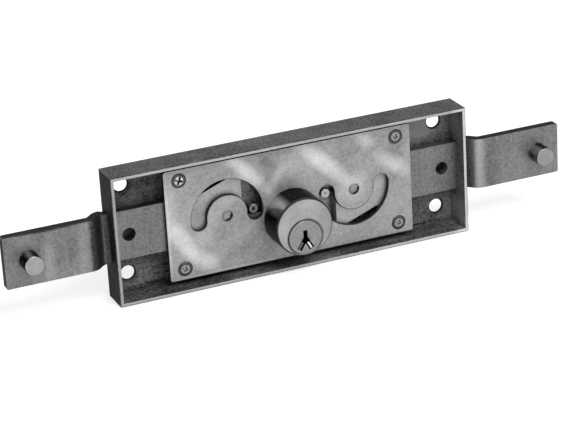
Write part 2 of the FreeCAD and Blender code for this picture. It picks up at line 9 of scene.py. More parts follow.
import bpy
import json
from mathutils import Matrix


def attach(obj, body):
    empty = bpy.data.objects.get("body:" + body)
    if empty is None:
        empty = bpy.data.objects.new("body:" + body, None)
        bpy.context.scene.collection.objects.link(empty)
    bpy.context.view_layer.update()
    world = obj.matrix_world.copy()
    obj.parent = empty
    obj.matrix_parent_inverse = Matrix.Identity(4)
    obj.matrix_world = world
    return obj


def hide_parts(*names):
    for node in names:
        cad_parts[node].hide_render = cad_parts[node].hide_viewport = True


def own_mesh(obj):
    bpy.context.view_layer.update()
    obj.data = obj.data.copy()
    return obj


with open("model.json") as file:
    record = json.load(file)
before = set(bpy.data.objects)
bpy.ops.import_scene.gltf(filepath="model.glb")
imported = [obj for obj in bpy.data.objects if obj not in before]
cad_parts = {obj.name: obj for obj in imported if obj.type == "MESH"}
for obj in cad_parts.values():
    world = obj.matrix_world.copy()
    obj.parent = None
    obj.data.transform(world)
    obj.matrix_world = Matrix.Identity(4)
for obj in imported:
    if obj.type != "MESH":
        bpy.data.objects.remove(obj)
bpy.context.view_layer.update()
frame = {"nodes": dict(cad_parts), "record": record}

import json
import logging
import math
from collections.abc import Callable, Iterable, Sequence
from dataclasses import dataclass, field
from enum import Enum

import bmesh
import bpy
from mathutils import Matrix, Vector

LOG = logging.getLogger("shutter_lock")
MM = 0.001
FRONT_AXIS = (0.0, -1.0, 0.0)
SHARP_ANGLE = math.radians(38.0)
WELD = 1e-4
NEAR = 1e-3
GRAINS_PER_METRE = 1050.0
MARK_RANGE = (0.25, 0.75)
FACE_WEIGHT = 60
WHITE = (1.0, 1.0, 1.0, 1.0)

Point = tuple[float, float, float]
Colour = tuple[float, float, float]
Profile = list[tuple[float, float]]
Socket = bpy.types.NodeSocket
Piece = bpy.types.Object
Edge = bmesh.types.BMEdge
PointTest = Callable[[Vector], bool]
FaceTest = Callable[[Vector, Vector], bool]


class Op(Enum):
    """What a tool does to the solid it meets."""

    CUT = "DIFFERENCE"
    ADD = "UNION"
    KEEP = "INTERSECT"


class Lay(Enum):
    """The way that a metal's fine marks run, as stretches along X, Y and Z."""

    CLOUDY = (1.0, 1.0, 1.0)
    ALONG_X = (0.03, 1.0, 1.0)
    ALONG_Y = (1.0, 0.03, 1.0)
    ALONG_Z = (1.0, 1.0, 0.03)
    RINGS = (1.0, 0.0, 1.0)


class Side(Enum):
    """The two halves of the lock, with the sign of their X."""

    LEFT = -1
    RIGHT = 1

    @property
    def word(self) -> str:
        """The side's name as the frame's nodes and bodies write it."""
        return self.name.lower()


@dataclass(frozen=True)
class Places:
    """The depths and axes that the lock's pieces share.

    Attributes:
        floor: The depth of the case floor's front.
        gear_back: The depth of the gears' back.
        gear_front: The depth of their front.
        bar_back: The depth of the bars' back, inside the case.
        bar_front: The depth of their front.
        cover_back: The depth of the cover's back.
        cover_front: The depth of its front.
        rim: The depth of the case's front edge.
        barrel_front: The depth of the key cylinder's face.
        pivot_x: The cranks' pivots along X.
        crank_r: The radius that the crank studs swing on.
        screw_x: Half the spacing of cover screws and pillars along X.
        screw_z: Half their spacing along Z.
        holder_x: Half the spacing of the screws that hold the cylinder.
        pin_x: The rod pins along X.
        pin_r: Their radius.
        barrel_z: The barrel's axis along Z.
        barrel_r: The barrel's radius.
        plug_z: The axis of plug and pinion along Z.
    """

    floor: float = -1.5
    gear_back: float = -1.8
    gear_front: float = -3.8
    bar_back: float = -3.9
    bar_front: float = -7.9
    cover_back: float = -8.0
    cover_front: float = -10.0
    rim: float = -15.0
    barrel_front: float = -23.0
    pivot_x: float = 28.0
    crank_r: float = 12.2
    screw_x: float = 47.5
    screw_z: float = 19.0
    holder_x: float = 7.5
    pin_x: float = 112.0
    pin_r: float = 4.0
    barrel_z: float = -6.3
    barrel_r: float = 12.3
    plug_z: float = -10.77


AT = Places()


class Graph:
    """A node tree, with short calls for the nodes that the finishes and the studio share."""

    def __init__(self, owner: "bpy.types.Material | bpy.types.World", output: str) -> None:
        """Starts a tree that holds nothing but its output.

        Args:
            owner: The material or the world that the tree is for.
            output: The output node's type.
        """
        owner.use_nodes = True
        self.tree = owner.node_tree
        self.tree.nodes.clear()
        self.surface = self.add(output).inputs["Surface"]

    def add(self, kind: str, **settings: object) -> bpy.types.Node:
        """Adds a node.

        Args:
            kind: The node's type.
            settings: Properties to set on it.

        Returns:
            The new node.
        """
        node = self.tree.nodes.new(kind)
        for name, value in settings.items():
            setattr(node, name, value)
        return node

    def join(self, source: Socket, target: Socket) -> None:
        """Links an output to an input."""
        self.tree.links.new(source, target)

    def feed(self, target: Socket, value: "Socket | float | Sequence[float]") -> None:
        """Links an output to an input, or writes a plain value in it.

        Args:
            target: The input.
            value: The output or the value.
        """
        if isinstance(value, bpy.types.NodeSocket):
            self.join(value, target)
        else:
            target.default_value = value

    def shader(self, kind: str, **values: "Socket | float | Sequence[float]") -> bpy.types.Node:
        """Adds a shader.

        Args:
            kind: The shader's type.
            values: What its inputs get, under their names with _ for a space.

        Returns:
            The shader's node.
        """
        node = self.add(kind)
        for name, value in values.items():
            self.feed(node.inputs[name.replace("_", " ")], value)
        return node

    def place(self, centre: Point = (0.0, 0.0, 0.0), tilt: float = 0.0,
              stretch: Point = (1.0, 1.0, 1.0)) -> Socket:
        """Object coordinates about a centre.

        Args:
            centre: The new origin, in millimetres.
            tilt: A turn about the front axis, in degrees.
            stretch: Factors along X, Y and Z after the turn.

        Returns:
            The coordinates' socket.
        """
        where = self.add("ShaderNodeTexCoord").outputs["Object"]
        turn = (0.0, math.radians(tilt), 0.0)
        moves = {"Location": [-c * MM for c in centre], "Rotation": turn, "Scale": stretch}
        for name, value in moves.items():
            mapping = self.add("ShaderNodeMapping", vector_type="POINT")
            mapping.inputs[name].default_value = value
            self.join(where, mapping.inputs["Vector"])
            where = mapping.outputs["Vector"]
        return where

    def length(self, where: Socket) -> Socket:
        """The distance of some coordinates from their origin.

        Args:
            where: The coordinates.

        Returns:
            The distance's socket.
        """
        node = self.add("ShaderNodeVectorMath", operation="LENGTH")
        self.join(where, node.inputs[0])
        return node.outputs["Value"]

    def noise(self, where: Socket, scale: float, detail: float = 2.0, one_line: bool = False) -> Socket:
        """Noise from 0 to 1 about a half.

        Args:
            where: The coordinates, or a single value if one_line is true.
            scale: Features in a metre.
            detail: Octaves of finer noise.
            one_line: Whether the noise runs along one value.

        Returns:
            The noise's socket.
        """
        texture = self.add("ShaderNodeTexNoise", noise_dimensions="1D" if one_line else "3D")
        self.join(where, texture.inputs["W" if one_line else "Vector"])
        texture.inputs["Scale"].default_value = scale
        texture.inputs["Detail"].default_value = detail
        return texture.outputs["Fac"]

    def sum(self, operation: str, first: "Socket | float", second: "Socket | float",
            clamp: bool = False) -> Socket:
        """One step of arithmetic.

        Args:
            operation: A Math node's operation.
            first: The first number.
            second: The second number.
            clamp: Whether the result stays between 0 and 1.

        Returns:
            The result's socket.
        """
        node = self.add("ShaderNodeMath", operation=operation, use_clamp=clamp)
        self.feed(node.inputs[0], first)
        self.feed(node.inputs[1], second)
        return node.outputs[0]

    def span(self, value: Socket, old: tuple[float, float], new: tuple[float, float]) -> Socket:
        """Maps one range of numbers to another, smoothly and within its ends.

        Args:
            value: The number.
            old: The range that it comes in.
            new: The range that it goes to.

        Returns:
            The result's socket.
        """
        node = self.add("ShaderNodeMapRange", interpolation_type="SMOOTHSTEP")
        self.join(value, node.inputs["Value"])
        for name, number in zip(("From Min", "From Max", "To Min", "To Max"), (*old, *new)):
            node.inputs[name].default_value = number
        return node.outputs["Result"]

    def blend(self, share: Socket, first: Colour, second: Colour) -> Socket:
        """A colour between two.

        Args:
            share: How much of the second there is, from 0 to 1.
            first: The first colour.
            second: The second colour.

        Returns:
            The colour's socket.
        """
        node = self.add("ShaderNodeMix", data_type="RGBA")
        self.join(share, node.inputs["Factor"])
        node.inputs["A"].default_value = (*first, 1.0)
        node.inputs["B"].default_value = (*second, 1.0)
        return node.outputs["Result"]

    def relief(self, height: Socket, depth: float, under: Socket | None = None) -> Socket:
        """Bumps from a height of 0 to 1.

        Args:
            height: The height's socket.
            depth: The height of a full bump, in millimetres.
            under: A normal that the bumps lie on.

        Returns:
            The normal's socket.
        """
        node = self.add("ShaderNodeBump")
        node.inputs["Strength"].default_value = 1.0
        node.inputs["Distance"].default_value = depth * MM
        self.join(height, node.inputs["Height"])
        if under is not None:
            self.join(under, node.inputs["Normal"])
        return node.outputs["Normal"]


@dataclass(frozen=True)
class Glow:
    """A soft patch painted lighter or darker than the rest of a surface: mostly painted highlights,
    reflections and shade.

    Attributes:
        x: The patch's centre along X, in millimetres.
        z: Its centre along Z.
        length: Half its length.
        width: Half its width.
        gain: How much of the way from dark to light it adds.
        flat: The share of its reach that has the whole gain.
        tilt: The turn of its length from X, in degrees.
    """

    x: float
    z: float
    length: float
    width: float
    gain: float
    flat: float = 0.0
    tilt: float = 0.0

    def share(self, graph: Graph) -> Socket:
        """Builds the patch's own share of lightness in a material.

        Args:
            graph: The material's nodes.

        Returns:
            The share's socket.
        """
        stretch = (1.0 / (self.length * MM), 0.0, 1.0 / (self.width * MM))
        far = graph.length(graph.place((self.x, 0.0, self.z), self.tilt, stretch))
        return graph.span(far, (self.flat, 1.0), (self.gain, 0.0))


def painted_patches(*rows: tuple[float, ...]) -> tuple[Glow, ...]:
    """Painted highlight and shade patches from rows of x, z, length, width, gain, flat and tilt."""
    return tuple(Glow(*row) for row in rows)


def around(x: float, z: float, radius: float, *rows: tuple[float, float, float]) -> tuple[Glow, ...]:
    """Round painted highlights on the side of a rod along Y, from rows of angle, reach and gain."""
    return painted_patches(*((x + radius * math.cos(angle), z + radius * math.sin(angle), reach, reach, gain)
                  for angle, reach, gain in rows))


@dataclass(frozen=True)
class Metal:
    """A metal surface, told by its tones and its marks.

    Attributes:
        name: The finish's name.
        dark: Its darkest tone, a grey or a colour.
        light: Its lightest tone.
        marks: Fine marks in a metre.
        mark_share: How far the marks move the tone.
        clouds: Broad patches in a metre.
        cloud_share: How far the patches move the tone.
        rough: Lowest and highest roughness.
        lay: The way that the fine marks run.
        metallic: How metallic the surface is.
        depth: Depth of the fine marks, in millimetres.
        wave: Depth of the broad unevenness, in millimetres.
        centre: The axis that rings run about.
        level: Where the tone lies between dark and light with no marks.
        edge: How much of the glare at grazing angles is left.
        glaze: The gloss of the share that isn't metallic.
        drift: The tilt of the broad patches in degrees, and how far they are drawn out.
        grain: How far a fine, even grain moves the tone.
        warmth: How far a grey leans from blue to red.
        glows: Lighter and darker patches, mostly painted highlights, reflections and shade.
    """

    name: str
    dark: "float | Colour"
    light: "float | Colour"
    marks: float
    mark_share: float
    clouds: float
    cloud_share: float
    rough: tuple[float, float]
    lay: Lay = Lay.CLOUDY
    metallic: float = 1.0
    depth: float = 0.004
    wave: float = 0.0
    centre: Point = (0.0, 0.0, 0.0)
    level: float = 0.5
    edge: float = 1.0
    glaze: float = 0.5
    drift: tuple[float, float] = (0.0, 1.0)
    grain: float = 0.0
    warmth: float = 0.0
    glows: tuple[Glow, ...] = ()

    def colour(self, tone: "float | Colour") -> Colour:
        """A tone as a colour.

        Args:
            tone: A grey, or a colour that stays as it is.

        Returns:
            The colour.
        """
        if isinstance(tone, tuple):
            return tone
        return (tone * (1.0 + self.warmth), tone, tone * (1.0 - self.warmth))

    def fine_marks(self, graph: Graph) -> Socket:
        """The noise of the marks along their lay.

        Args:
            graph: The material's nodes.

        Returns:
            The noise's socket.
        """
        if self.lay is Lay.RINGS:
            radius = graph.length(graph.place(self.centre, stretch=self.lay.value))
            return graph.noise(radius, self.marks, 3.0, one_line=True)
        return graph.noise(graph.place(stretch=self.lay.value), self.marks, 3.0)

    def material(self) -> bpy.types.Material:
        """Builds the finish's material, or finds it if it is built already.

        Returns:
            The material.
        """
        ready = bpy.data.materials.get(self.name)
        if ready is not None:
            return ready
        material = bpy.data.materials.new(self.name)
        graph = Graph(material, "ShaderNodeOutputMaterial")
        marks = self.fine_marks(graph)
        tilt, drawn = self.drift
        patches = graph.noise(graph.place((1.0, 1.0, 1.0), tilt, (1.0 / drawn, 1.0, 1.0)), self.clouds)
        moves = [(marks, self.mark_share), (patches, self.cloud_share)]
        if self.grain > 0.0:
            moves.append((graph.noise(graph.place(), GRAINS_PER_METRE), self.grain))
        tone: Socket | float = self.level
        for noise, share in moves:
            move = graph.sum("MULTIPLY", graph.sum("SUBTRACT", noise, 0.5), 2.0 * share)
            tone = graph.sum("ADD", move, tone)
        for glow in self.glows:
            tone = graph.sum("ADD", tone, glow.share(graph))
        tone = graph.sum("ADD", tone, 0.0, clamp=True)
        normal = graph.relief(marks, self.depth)
        if self.wave > 0.0:
            normal = graph.relief(patches, self.wave, normal)
        shader = graph.shader(
            "ShaderNodeBsdfPrincipled", Normal=normal, Metallic=self.metallic, Specular_IOR_Level=self.glaze,
            Base_Color=graph.blend(tone, self.colour(self.dark), self.colour(self.light)),
            Roughness=graph.span(marks, MARK_RANGE, self.rough),
            Specular_Tint=(self.edge, self.edge, self.edge, 1.0))
        graph.join(shader.outputs["BSDF"], graph.surface)
        return material


class Finishes:
    """Every finish of the lock, by region, by the record's material slots and by CAD node.

    A finish's plain numbers are its dark and light tone, its marks and their share, its clouds and
    their share, and its roughness. A patch's row is in Glow's order; the patches are mostly painted light and
    shade.
    """

    # The case outside; its top wall is painted lighter, a painted highlight.
    CASE = Metal("case_zinc", 0.03, 0.19, 1300, 0.4, 110, 0.4, (0.42, 0.62), lay=Lay.ALONG_X, metallic=0.15,
        depth=0.02, wave=0.03, level=0.44, edge=0.4, glaze=0.06, grain=1, warmth=-0.02,
        glows=painted_patches((3, 27.5, 34, 12, 0.14)))
    # The case's outer end walls: a darker copy of the case finish, painted shade.
    ENDS = Metal("case_ends", 0.006, 0.055, 1300, 0.4, 110, 0.4, (0.42, 0.62), lay=Lay.ALONG_Z, metallic=0.1,
        depth=0.02, wave=0.03, level=0.42, edge=0.3, glaze=0.02, grain=1, warmth=-0.02)
    # Inside the case: a lighter copy of the case finish, painted light, lighter still in the right bays and
    # behind the left bar's link hole, darker along the bottom wall, painted shade, and with darker rings
    # round the left fixing holes.
    BAY = Metal("case_inside", 0.04, 0.42, 1100, 0.28, 110, 0.28, (0.42, 0.62), lay=Lay.ALONG_X,
        metallic=0.15, depth=0.02, wave=0.03, level=0.3, edge=0.4, glaze=0.06, grain=0.56, warmth=-0.02,
        glows=painted_patches((62, 19, 18, 11, 0.84, 0.2), (70, -18, 16, 11, 0.16), (-66, -19, 14, 11, 0.21),
            (73.6, 16, 1.9, 12, 0.12), (75, -20, 4.5, 9, 0.3, 0.2), (65.5, -15.5, 5, 4.5, 0.13),
            (-69.2, 0, 5, 5, 0.6), (-68.3, -19.6, 4.6, 4.6, -0.14, 0.75),
            (-68.6, 18.3, 4.5, 4.5, -0.14, 0.75), (-57, -21, 7, 4.5, 0.1), (-52, -26.2, 27, 1.7, -0.23, 0.7),
            (46, -26.2, 34, 1.7, -0.14, 0.6)))
    # The case's front rim; its lighter patches are painted highlights.
    RIM = Metal("case_rim", 0.24, 0.64, 1800, 0.16, 120, 0.16, (0.32, 0.46), lay=Lay.ALONG_Y, depth=0.006,
        level=0.22, grain=0.14, warmth=-0.01,
        glows=painted_patches((77, 0, 8, 70, 0.45, 0.5), (45, 27, 50, 9, 0.18), (-35, 27, 55, 3, 0.16, 0.6),
            (55, -27, 60, 9, 0.24)))
    # The cover: its diagonal lighter streaks and patches are painted reflections, the light lines along its
    # left and lower edges painted highlights, and its darker patches painted shade.
    COVER = Metal("cover_satin", 0.22, 0.82, 2200, 0.08, 85, 0.28, (0.4, 0.52), lay=Lay.ALONG_Z, metallic=0.6,
        depth=0.003, wave=0.05, level=0.22, drift=(40, 3), grain=0.24, warmth=-0.01,
        glows=painted_patches((-47.8, -6.6, 14, 5.6, 0.5, 0.25, -60), (-39.5, -16.8, 12, 5.6, 0.44, 0.15, -35),
            (-52, 7, 16, 4.5, 0.24, 0, 90), (-18.4, 16.6, 16.5, 4.4, 0.48, 0.15, -47), (-24, 22, 8, 4, 0.2),
            (15.6, 13.4, 22.5, 5.3, 0.5, 0.2, -43), (33.4, 20.6, 7.5, 4.8, 0.38, 0, -40),
            (46.5, 7.2, 14, 5, 0.36, 0.1, -36), (-9.8, 19, 7, 4, -0.22, 0, -52),
            (-6, 11.6, 8, 3.4, 0.3, 0.1, 45), (-9, 6.8, 5, 4, 0.24), (0.5, 17, 10, 7, 0.14),
            (47.5, 13.5, 7.5, 5.5, -0.2, 0, -40), (-18, -15, 19, 10, -0.16, 0, 6), (-28, -5, 12, 9, -0.06),
            (-53.4, -2, 1, 28, 0.22, 0.5), (-28, -23.1, 30, 1, 0.2, 0.5), (-38, -9, 8, 6.5, 0.17),
            (-26.5, -21, 5.5, 4, 0.09), (51, 17, 4, 5, -0.14), (42, 2, 15, 26, -0.05), (-41, 0, 14, 20, 0.05),
            (10, 2, 14, 20, 0.04), (27.5, 1, 9.5, 8, 0.2, 0.3), (-28, 1, 7.5, 6, -0.07)))
    # The cover's walls and bevels: near black, painted shade.
    COVER_EDGE = Metal("cover_edge_shade", 0.02, 0.1, 1500, 0.6, 200, 0.3, (0.4, 0.6), lay=Lay.ALONG_Y,
        metallic=0.8, depth=0.02, edge=0.4, glaze=0.1)
    # The bars: lighter under the cover and at the outer bends, darker on the joggles' ramps, beside the case
    # walls, under the top edge and at the stud slots' lower ends; all painted light and shade.
    BAR = Metal("bar_drawn", 0.03, 0.52, 1300, 0.1, 70, 0.15, (0.4, 0.54), lay=Lay.ALONG_Z, metallic=0.6,
        depth=0.006, wave=0.03, level=0.35, drift=(90, 2.5), grain=0.25, warmth=-0.01,
        glows=painted_patches((-26, 0, 30, 60, 0.42, 0.6), (26, 0, 30, 60, 0.43, 0.6), (-40, 2, 9, 5, -0.18, 0, 90),
            (-118, -3, 14, 15, 0.08), (-101, -9, 18, 6, 0.07), (-104, -3, 4, 16, 0.23, 0.1),
            (-113, 7.5, 9, 6.5, 0.13), (-92, 3, 7, 14, -0.08), (91, 1, 5, 20, -0.07, 0.3),
            (101, 2, 6, 13, 0.06), (-15.8, -4.2, 5.5, 3.4, -0.52, 0.5), (15.8, 4.2, 5.5, 3.4, -0.52, 0.5),
            (66, 0, 12, 60, -0.03), (-66, 0, 12, 60, -0.06), (-89.5, 0, 4.5, 60, 0.17),
            (-83.6, 0, 4.2, 60, -0.37, 0.4), (84.9, 0, 3.4, 60, 0.37), (-78.2, 0, 3.6, 60, -0.2),
            (79.6, 0, 4.2, 60, -0.2), (-102, 11, 21, 1.2, -0.34, 0.5)))
    # The bars' top, bottom and end faces: near black, painted shade, and lighter in the bays, painted light.
    BAR_EDGE = Metal("bar_edge_shade", 0.006, 0.26, 1600, 0.09, 200, 0.07, (0.38, 0.6), lay=Lay.ALONG_Y,
        metallic=0.9, depth=0.02, level=0.09, edge=0.45, grain=0.07,
        glows=painted_patches((62, 0, 19, 60, 0.75, 0.5), (-62, 0, 19, 60, 0.22, 0.5)))
    # The yoke's left wall: light and barely metallic, painted light on a wall that sits in shade.
    YOKE = Metal("yoke_painted_light", 0.34, 0.7, 1300, 0.3, 200, 0.2, (0.45, 0.6), lay=Lay.ALONG_Y, metallic=0.1,
        depth=0.006, edge=0.4, glaze=0.1, grain=0.2)
    # The rod pins' faces; the right one's is painted darker, painted shade.
    PIN_FACE = Metal("rod_pin_face", 0.25, 0.4, 2600, 0.3, 300, 0.3, (0.3, 0.42), grain=0.3,
        glows=painted_patches((112, 0, 6, 6, -0.36, 0.7)))
    # The rod pins' sides: near black for the dark surroundings they reflect, a painted reflection, with
    # painted highlights round each pin.
    PIN_SIDE = Metal("rod_pin_side", 0.008, 0.4, 900, 0.25, 420, 0.35, (0.16, 0.3), depth=0.02, level=0.06,
        edge=0.5,
        glows=(*around(-AT.pin_x, 0, AT.pin_r, (1.85, 2.1, 0.85), (0.35, 1.5, 0.3), (4.4, 1.5, 0.45)),
               *around(AT.pin_x, 0, AT.pin_r, (2.4, 3.4, 0.95), (1.2, 1.5, 0.35), (3.5, 2, 0.6))))
    BRIGHT = Metal("screw_bright", 0.34, 0.72, 1100, 0.7, 400, 0.3, (0.2, 0.3), depth=0.02)
    SCREW = Metal("screw_zinc", 0.16, 0.42, 1800, 0.5, 400, 0.3, (0.25, 0.4), depth=0.01)
    # The rim of the screw heads and the worn screws' crosses: near black, painted shade.
    HEAD_SHADE = Metal("screw_head_shade", 0.02, 0.15, 1300, 0.5, 400, 0.4, (0.4, 0.6), metallic=0.8, depth=0.01,
        edge=0.4, glaze=0.1)
    RECESS = Metal("screw_shade", 0.008, 0.06, 1800, 0.5, 400, 0.4, (0.3, 0.5), metallic=0.9, depth=0.01,
        edge=0.4, glaze=0.1)
    POST = Metal("post_zinc", 0.15, 0.37, 1500, 0.4, 300, 0.4, (0.45, 0.6), metallic=0.9)
    POST_RIM = Metal("post_shade", 0.08, 0.26, 1300, 0.5, 300, 0.4, (0.4, 0.55), metallic=0.9, depth=0.01,
        edge=0.5)
    # The left crank stud's face is a darker copy, painted shade, and the right one's a lighter copy, painted
    # light.
    STUD_SHADED = Metal("stud_shaded", 0.12, 0.38, 1100, 0.6, 300, 0.4, (0.35, 0.5), depth=0.006)
    STUD_BRIGHT = Metal("stud_bright", 0.26, 0.62, 1100, 0.6, 300, 0.4, (0.35, 0.5), depth=0.006)
    GEAR = Metal("gear_oiled", 0.02, 0.34, 800, 0.7, 260, 0.5, (0.26, 0.5), metallic=0.95, depth=0.02,
        level=0.52, edge=0.5, grain=0.3)
    # The barrel's face; its right side is painted darker, painted shade.
    BARREL_FACE = Metal("barrel_turned", 0.26, 0.48, 800, 0.34, 70, 0.45, (0.28, 0.4), lay=Lay.RINGS,
        depth=0.006, centre=(0, 0, AT.barrel_z), level=0.44, grain=0.3,
        glows=painted_patches((10, -6, 6.5, 13, -0.25, 0.2)))
    # The rounded rim of the barrel's face: near black, painted shade.
    BARREL_RIM = Metal("barrel_rim", 0.01, 0.09, 1500, 0.5, 300, 0.4, (0.4, 0.55), metallic=0.3, edge=0.4,
        glaze=0.08)
    # The barrel's side: near black for the dark surroundings it reflects, a painted reflection, with painted
    # highlights, the brightest on its upper left.
    BARREL_SIDE = Metal("barrel_side", 0.006, 0.76, 900, 0.022, 160, 0.03, (0.18, 0.28), lay=Lay.ALONG_Y,
        depth=0.003, level=0.034, edge=0.45, grain=0.036,
        glows=around(0, AT.barrel_z, AT.barrel_r, (2.38, 5.4, 0.88), (0.3, 3.6, 0.11),
                     (5.2, 3.6, 0.145), (3.3, 4.6, 0.075)))
    # The plug's face, painted darker round the keyway, painted shade.
    PLUG_FACE = Metal("plug_turned", 0.14, 0.34, 1000, 0.3, 150, 0.4, (0.28, 0.4), lay=Lay.RINGS, depth=0.006,
        centre=(0, 0, AT.plug_z), level=0.6, grain=0.3,
        glows=painted_patches((0, -11.6, 3.8, 2.8, -0.5, 0.2)))
    # The dark ring where plug and barrel meet, and the deeper ward: painted shade.
    PLUG_RING = Metal("plug_ring", 0.06, 0.24, 1500, 0.3, 300, 0.5, (0.3, 0.45), lay=Lay.RINGS,
        centre=(0, 0, AT.plug_z), edge=0.5)
    # The keyway's walls: near black, painted shade.
    KEYWAY = Metal("keyway_cut", 0.01, 0.09, 1800, 0.5, 300, 0.4, (0.3, 0.5), lay=Lay.ALONG_Y, depth=0.01,
        edge=0.4)
    # The shallower ward: light, a painted highlight.
    LIP = Metal("keyway_lip", 0.5, 0.8, 2000, 0.3, 300, 0.3, (0.2, 0.3), depth=0.003)
    BRASS = Metal("pin_brass", (0.42, 0.31, 0.12), (0.66, 0.5, 0.22), 1800, 0.4, 300, 0.4, (0.2, 0.36),
        depth=0.005)
    SPRING = Metal("spring_wire", 0.3, 0.5, 3000, 0.4, 500, 0.3, (0.22, 0.36), depth=0.002)

    BY_SLOT = {
        "case_steel": CASE, "cover_steel": COVER, "bar_steel": BAR, "screw_steel": SCREW, "post_steel": POST,
        "gear_steel": GEAR, "rod_pin_steel": PIN_FACE, "cylinder_nickel": BARREL_FACE,
        "plug_nickel": PLUG_FACE, "pin_brass": BRASS, "spring_steel": SPRING,
    }
    # The chamber caps take the barrel side's near-black finish and painted highlights.
    BY_NODE = {"chamber_caps": BARREL_SIDE}


class Solid:
    """A closed mesh in the making, in millimetres."""

    def __init__(self, bm: bmesh.types.BMesh | None = None) -> None:
        """Starts with a mesh, or with no faces."""
        self.bm = bmesh.new() if bm is None else bm

    @classmethod
    def box(cls, low: Point, high: Point) -> "Solid":
        """A box.

        Args:
            low: Its lowest corner.
            high: Its highest corner.

        Returns:
            The solid.
        """
        solid = cls()
        size, middle = Vector(high) - Vector(low), (Vector(high) + Vector(low)) / 2
        matrix = Matrix.Translation(middle) @ Matrix.Diagonal((*size, 1.0))
        bmesh.ops.create_cube(solid.bm, size=1.0, matrix=matrix)
        return solid

    @classmethod
    def rod(cls, x: float, z: float, radius: float, front: float, back: float,
            back_radius: float | None = None, steps: int = 64) -> "Solid":
        """A round bar or a cone along Y.

        Args:
            x: The axis's place along X.
            z: The axis's place along Z.
            radius: The radius, at the front if it is a cone.
            front: The front end's depth.
            back: The back end's depth.
            back_radius: A cone's radius at the back.
            steps: Sides.

        Returns:
            The solid.
        """
        solid = cls()
        place = Matrix.Translation((x, (front + back) / 2, z)) @ Matrix.Rotation(math.radians(-90.0), 4, "X")
        bmesh.ops.create_cone(solid.bm, cap_ends=True, segments=steps, radius1=radius, depth=back - front,
                              radius2=radius if back_radius is None else back_radius, matrix=place)
        return solid

    @classmethod
    def upright(cls, y: float, radius: float, bottom: float, top: float) -> "Solid":
        """A round bar along Z over the centre line.

        Args:
            y: The axis's depth.
            radius: The bar's radius.
            bottom: Its lower end.
            top: Its upper end.

        Returns:
            The solid.
        """
        solid = cls()
        place = Matrix.Translation((0.0, y, (bottom + top) / 2))
        bmesh.ops.create_cone(solid.bm, cap_ends=True, segments=32, radius1=radius, radius2=radius,
                              depth=top - bottom, matrix=place)
        return solid

    @classmethod
    def lathe(cls, profile: Profile, x: float = 0.0, z: float = 0.0, steps: int = 96) -> "Solid":
        """A turned solid about an axis along Y.

        Args:
            profile: Radius and depth of each corner, from the axis at the front to the axis at the back.
            x: The axis's place along X.
            z: The axis's place along Z.
            steps: Sides.

        Returns:
            The solid.
        """
        solid = cls()
        verts = [solid.bm.verts.new((x + radius, depth, z)) for radius, depth in profile]
        edges = [solid.bm.edges.new(pair) for pair in zip(verts, verts[1:])]
        bmesh.ops.spin(solid.bm, geom=verts + edges, cent=(x, 0.0, z), axis=FRONT_AXIS, angle=2 * math.pi,
                       steps=steps, use_merge=True)
        return solid.close()

    @classmethod
    def prism(cls, outline: "Outline", front: float, back: float) -> "Solid":
        """An outline drawn out along Y.

        Args:
            outline: The closed outline.
            front: The front end's depth.
            back: The back end's depth.

        Returns:
            The solid.
        """
        solid = cls(outline.bm)
        face = bmesh.ops.contextual_create(solid.bm, geom=solid.bm.edges[:])["faces"]
        bmesh.ops.translate(solid.bm, verts=solid.bm.verts[:], vec=(0.0, front, 0.0))
        return solid.pull(face, (0.0, back - front, 0.0), keep=True).close()

    def pull(self, faces: Sequence[bmesh.types.BMFace], along: Point, keep: bool = False) -> "Solid":
        """Draws some faces out.

        Args:
            faces: The faces.
            along: How far and which way.
            keep: Whether the faces also stay where they were.

        Returns:
            This solid.
        """
        drawn = bmesh.ops.extrude_face_region(self.bm, geom=faces, use_keep_orig=keep)["geom"]
        moved = [item for item in drawn if isinstance(item, bmesh.types.BMVert)]
        bmesh.ops.translate(self.bm, verts=moved, vec=along)
        return self

    def close(self) -> "Solid":
        """Welds seams and poles and turns every face outwards.

        Returns:
            This solid.
        """
        bmesh.ops.remove_doubles(self.bm, verts=self.bm.verts[:], dist=WELD)
        bmesh.ops.recalc_face_normals(self.bm, faces=self.bm.faces[:])
        return self

    def turned_round(self) -> "Solid":
        """A copy turned half a turn about the lock's centre line."""
        return Solid(self.bm.copy()).turn((0.0, 0.0, 0.0), 180.0)

    def turn(self, centre: Point, degrees: float) -> "Solid":
        """Turns the solid about an axis along Y through a centre, and returns it."""
        bmesh.ops.rotate(self.bm, verts=self.bm.verts[:], cent=centre,
                         matrix=Matrix.Rotation(math.radians(degrees), 3, "Y"))
        return self

    def as_object(self, name: str = "work") -> Piece:
        """Puts the solid's mesh in the scene as it stands.

        Args:
            name: The object's name.

        Returns:
            The object.
        """
        mesh = bpy.data.meshes.new(name)
        self.bm.to_mesh(mesh)
        return in_scene(name, mesh)

    def shape(self, op: Op, *tools: "Solid") -> "Solid":
        """Cuts, adds or keeps with other solids, one after another.

        Args:
            op: What the tools do.
            tools: The other solids.

        Returns:
            This solid.
        """
        for tool in tools:
            body, other = self.as_object(), tool.as_object()
            modifier = body.modifiers.new("shape", "BOOLEAN")
            modifier.operation, modifier.object, modifier.solver = op.value, other, "EXACT"
            ready = body.evaluated_get(bpy.context.evaluated_depsgraph_get())
            result = bpy.data.meshes.new_from_object(ready)
            self.bm.clear()
            self.bm.from_mesh(result)
            spent = [result, body.data, other.data]
            for item in (body, other):
                bpy.data.objects.remove(item)
            for mesh in spent:
                bpy.data.meshes.remove(mesh)
            bmesh.ops.remove_doubles(self.bm, verts=self.bm.verts[:], dist=WELD)
        return self

    def drill(self, places: Iterable[tuple[float, float]], radius: float, front: float, back: float,
              steps: int = 48) -> "Solid":
        """Bores round holes along Y at some places (x, z), 1 mm past each end, and returns the solid."""
        rods = [Solid.rod(x, z, radius, front - 1, back + 1, steps=steps) for x, z in places]
        return self.shape(Op.CUT, *rods)

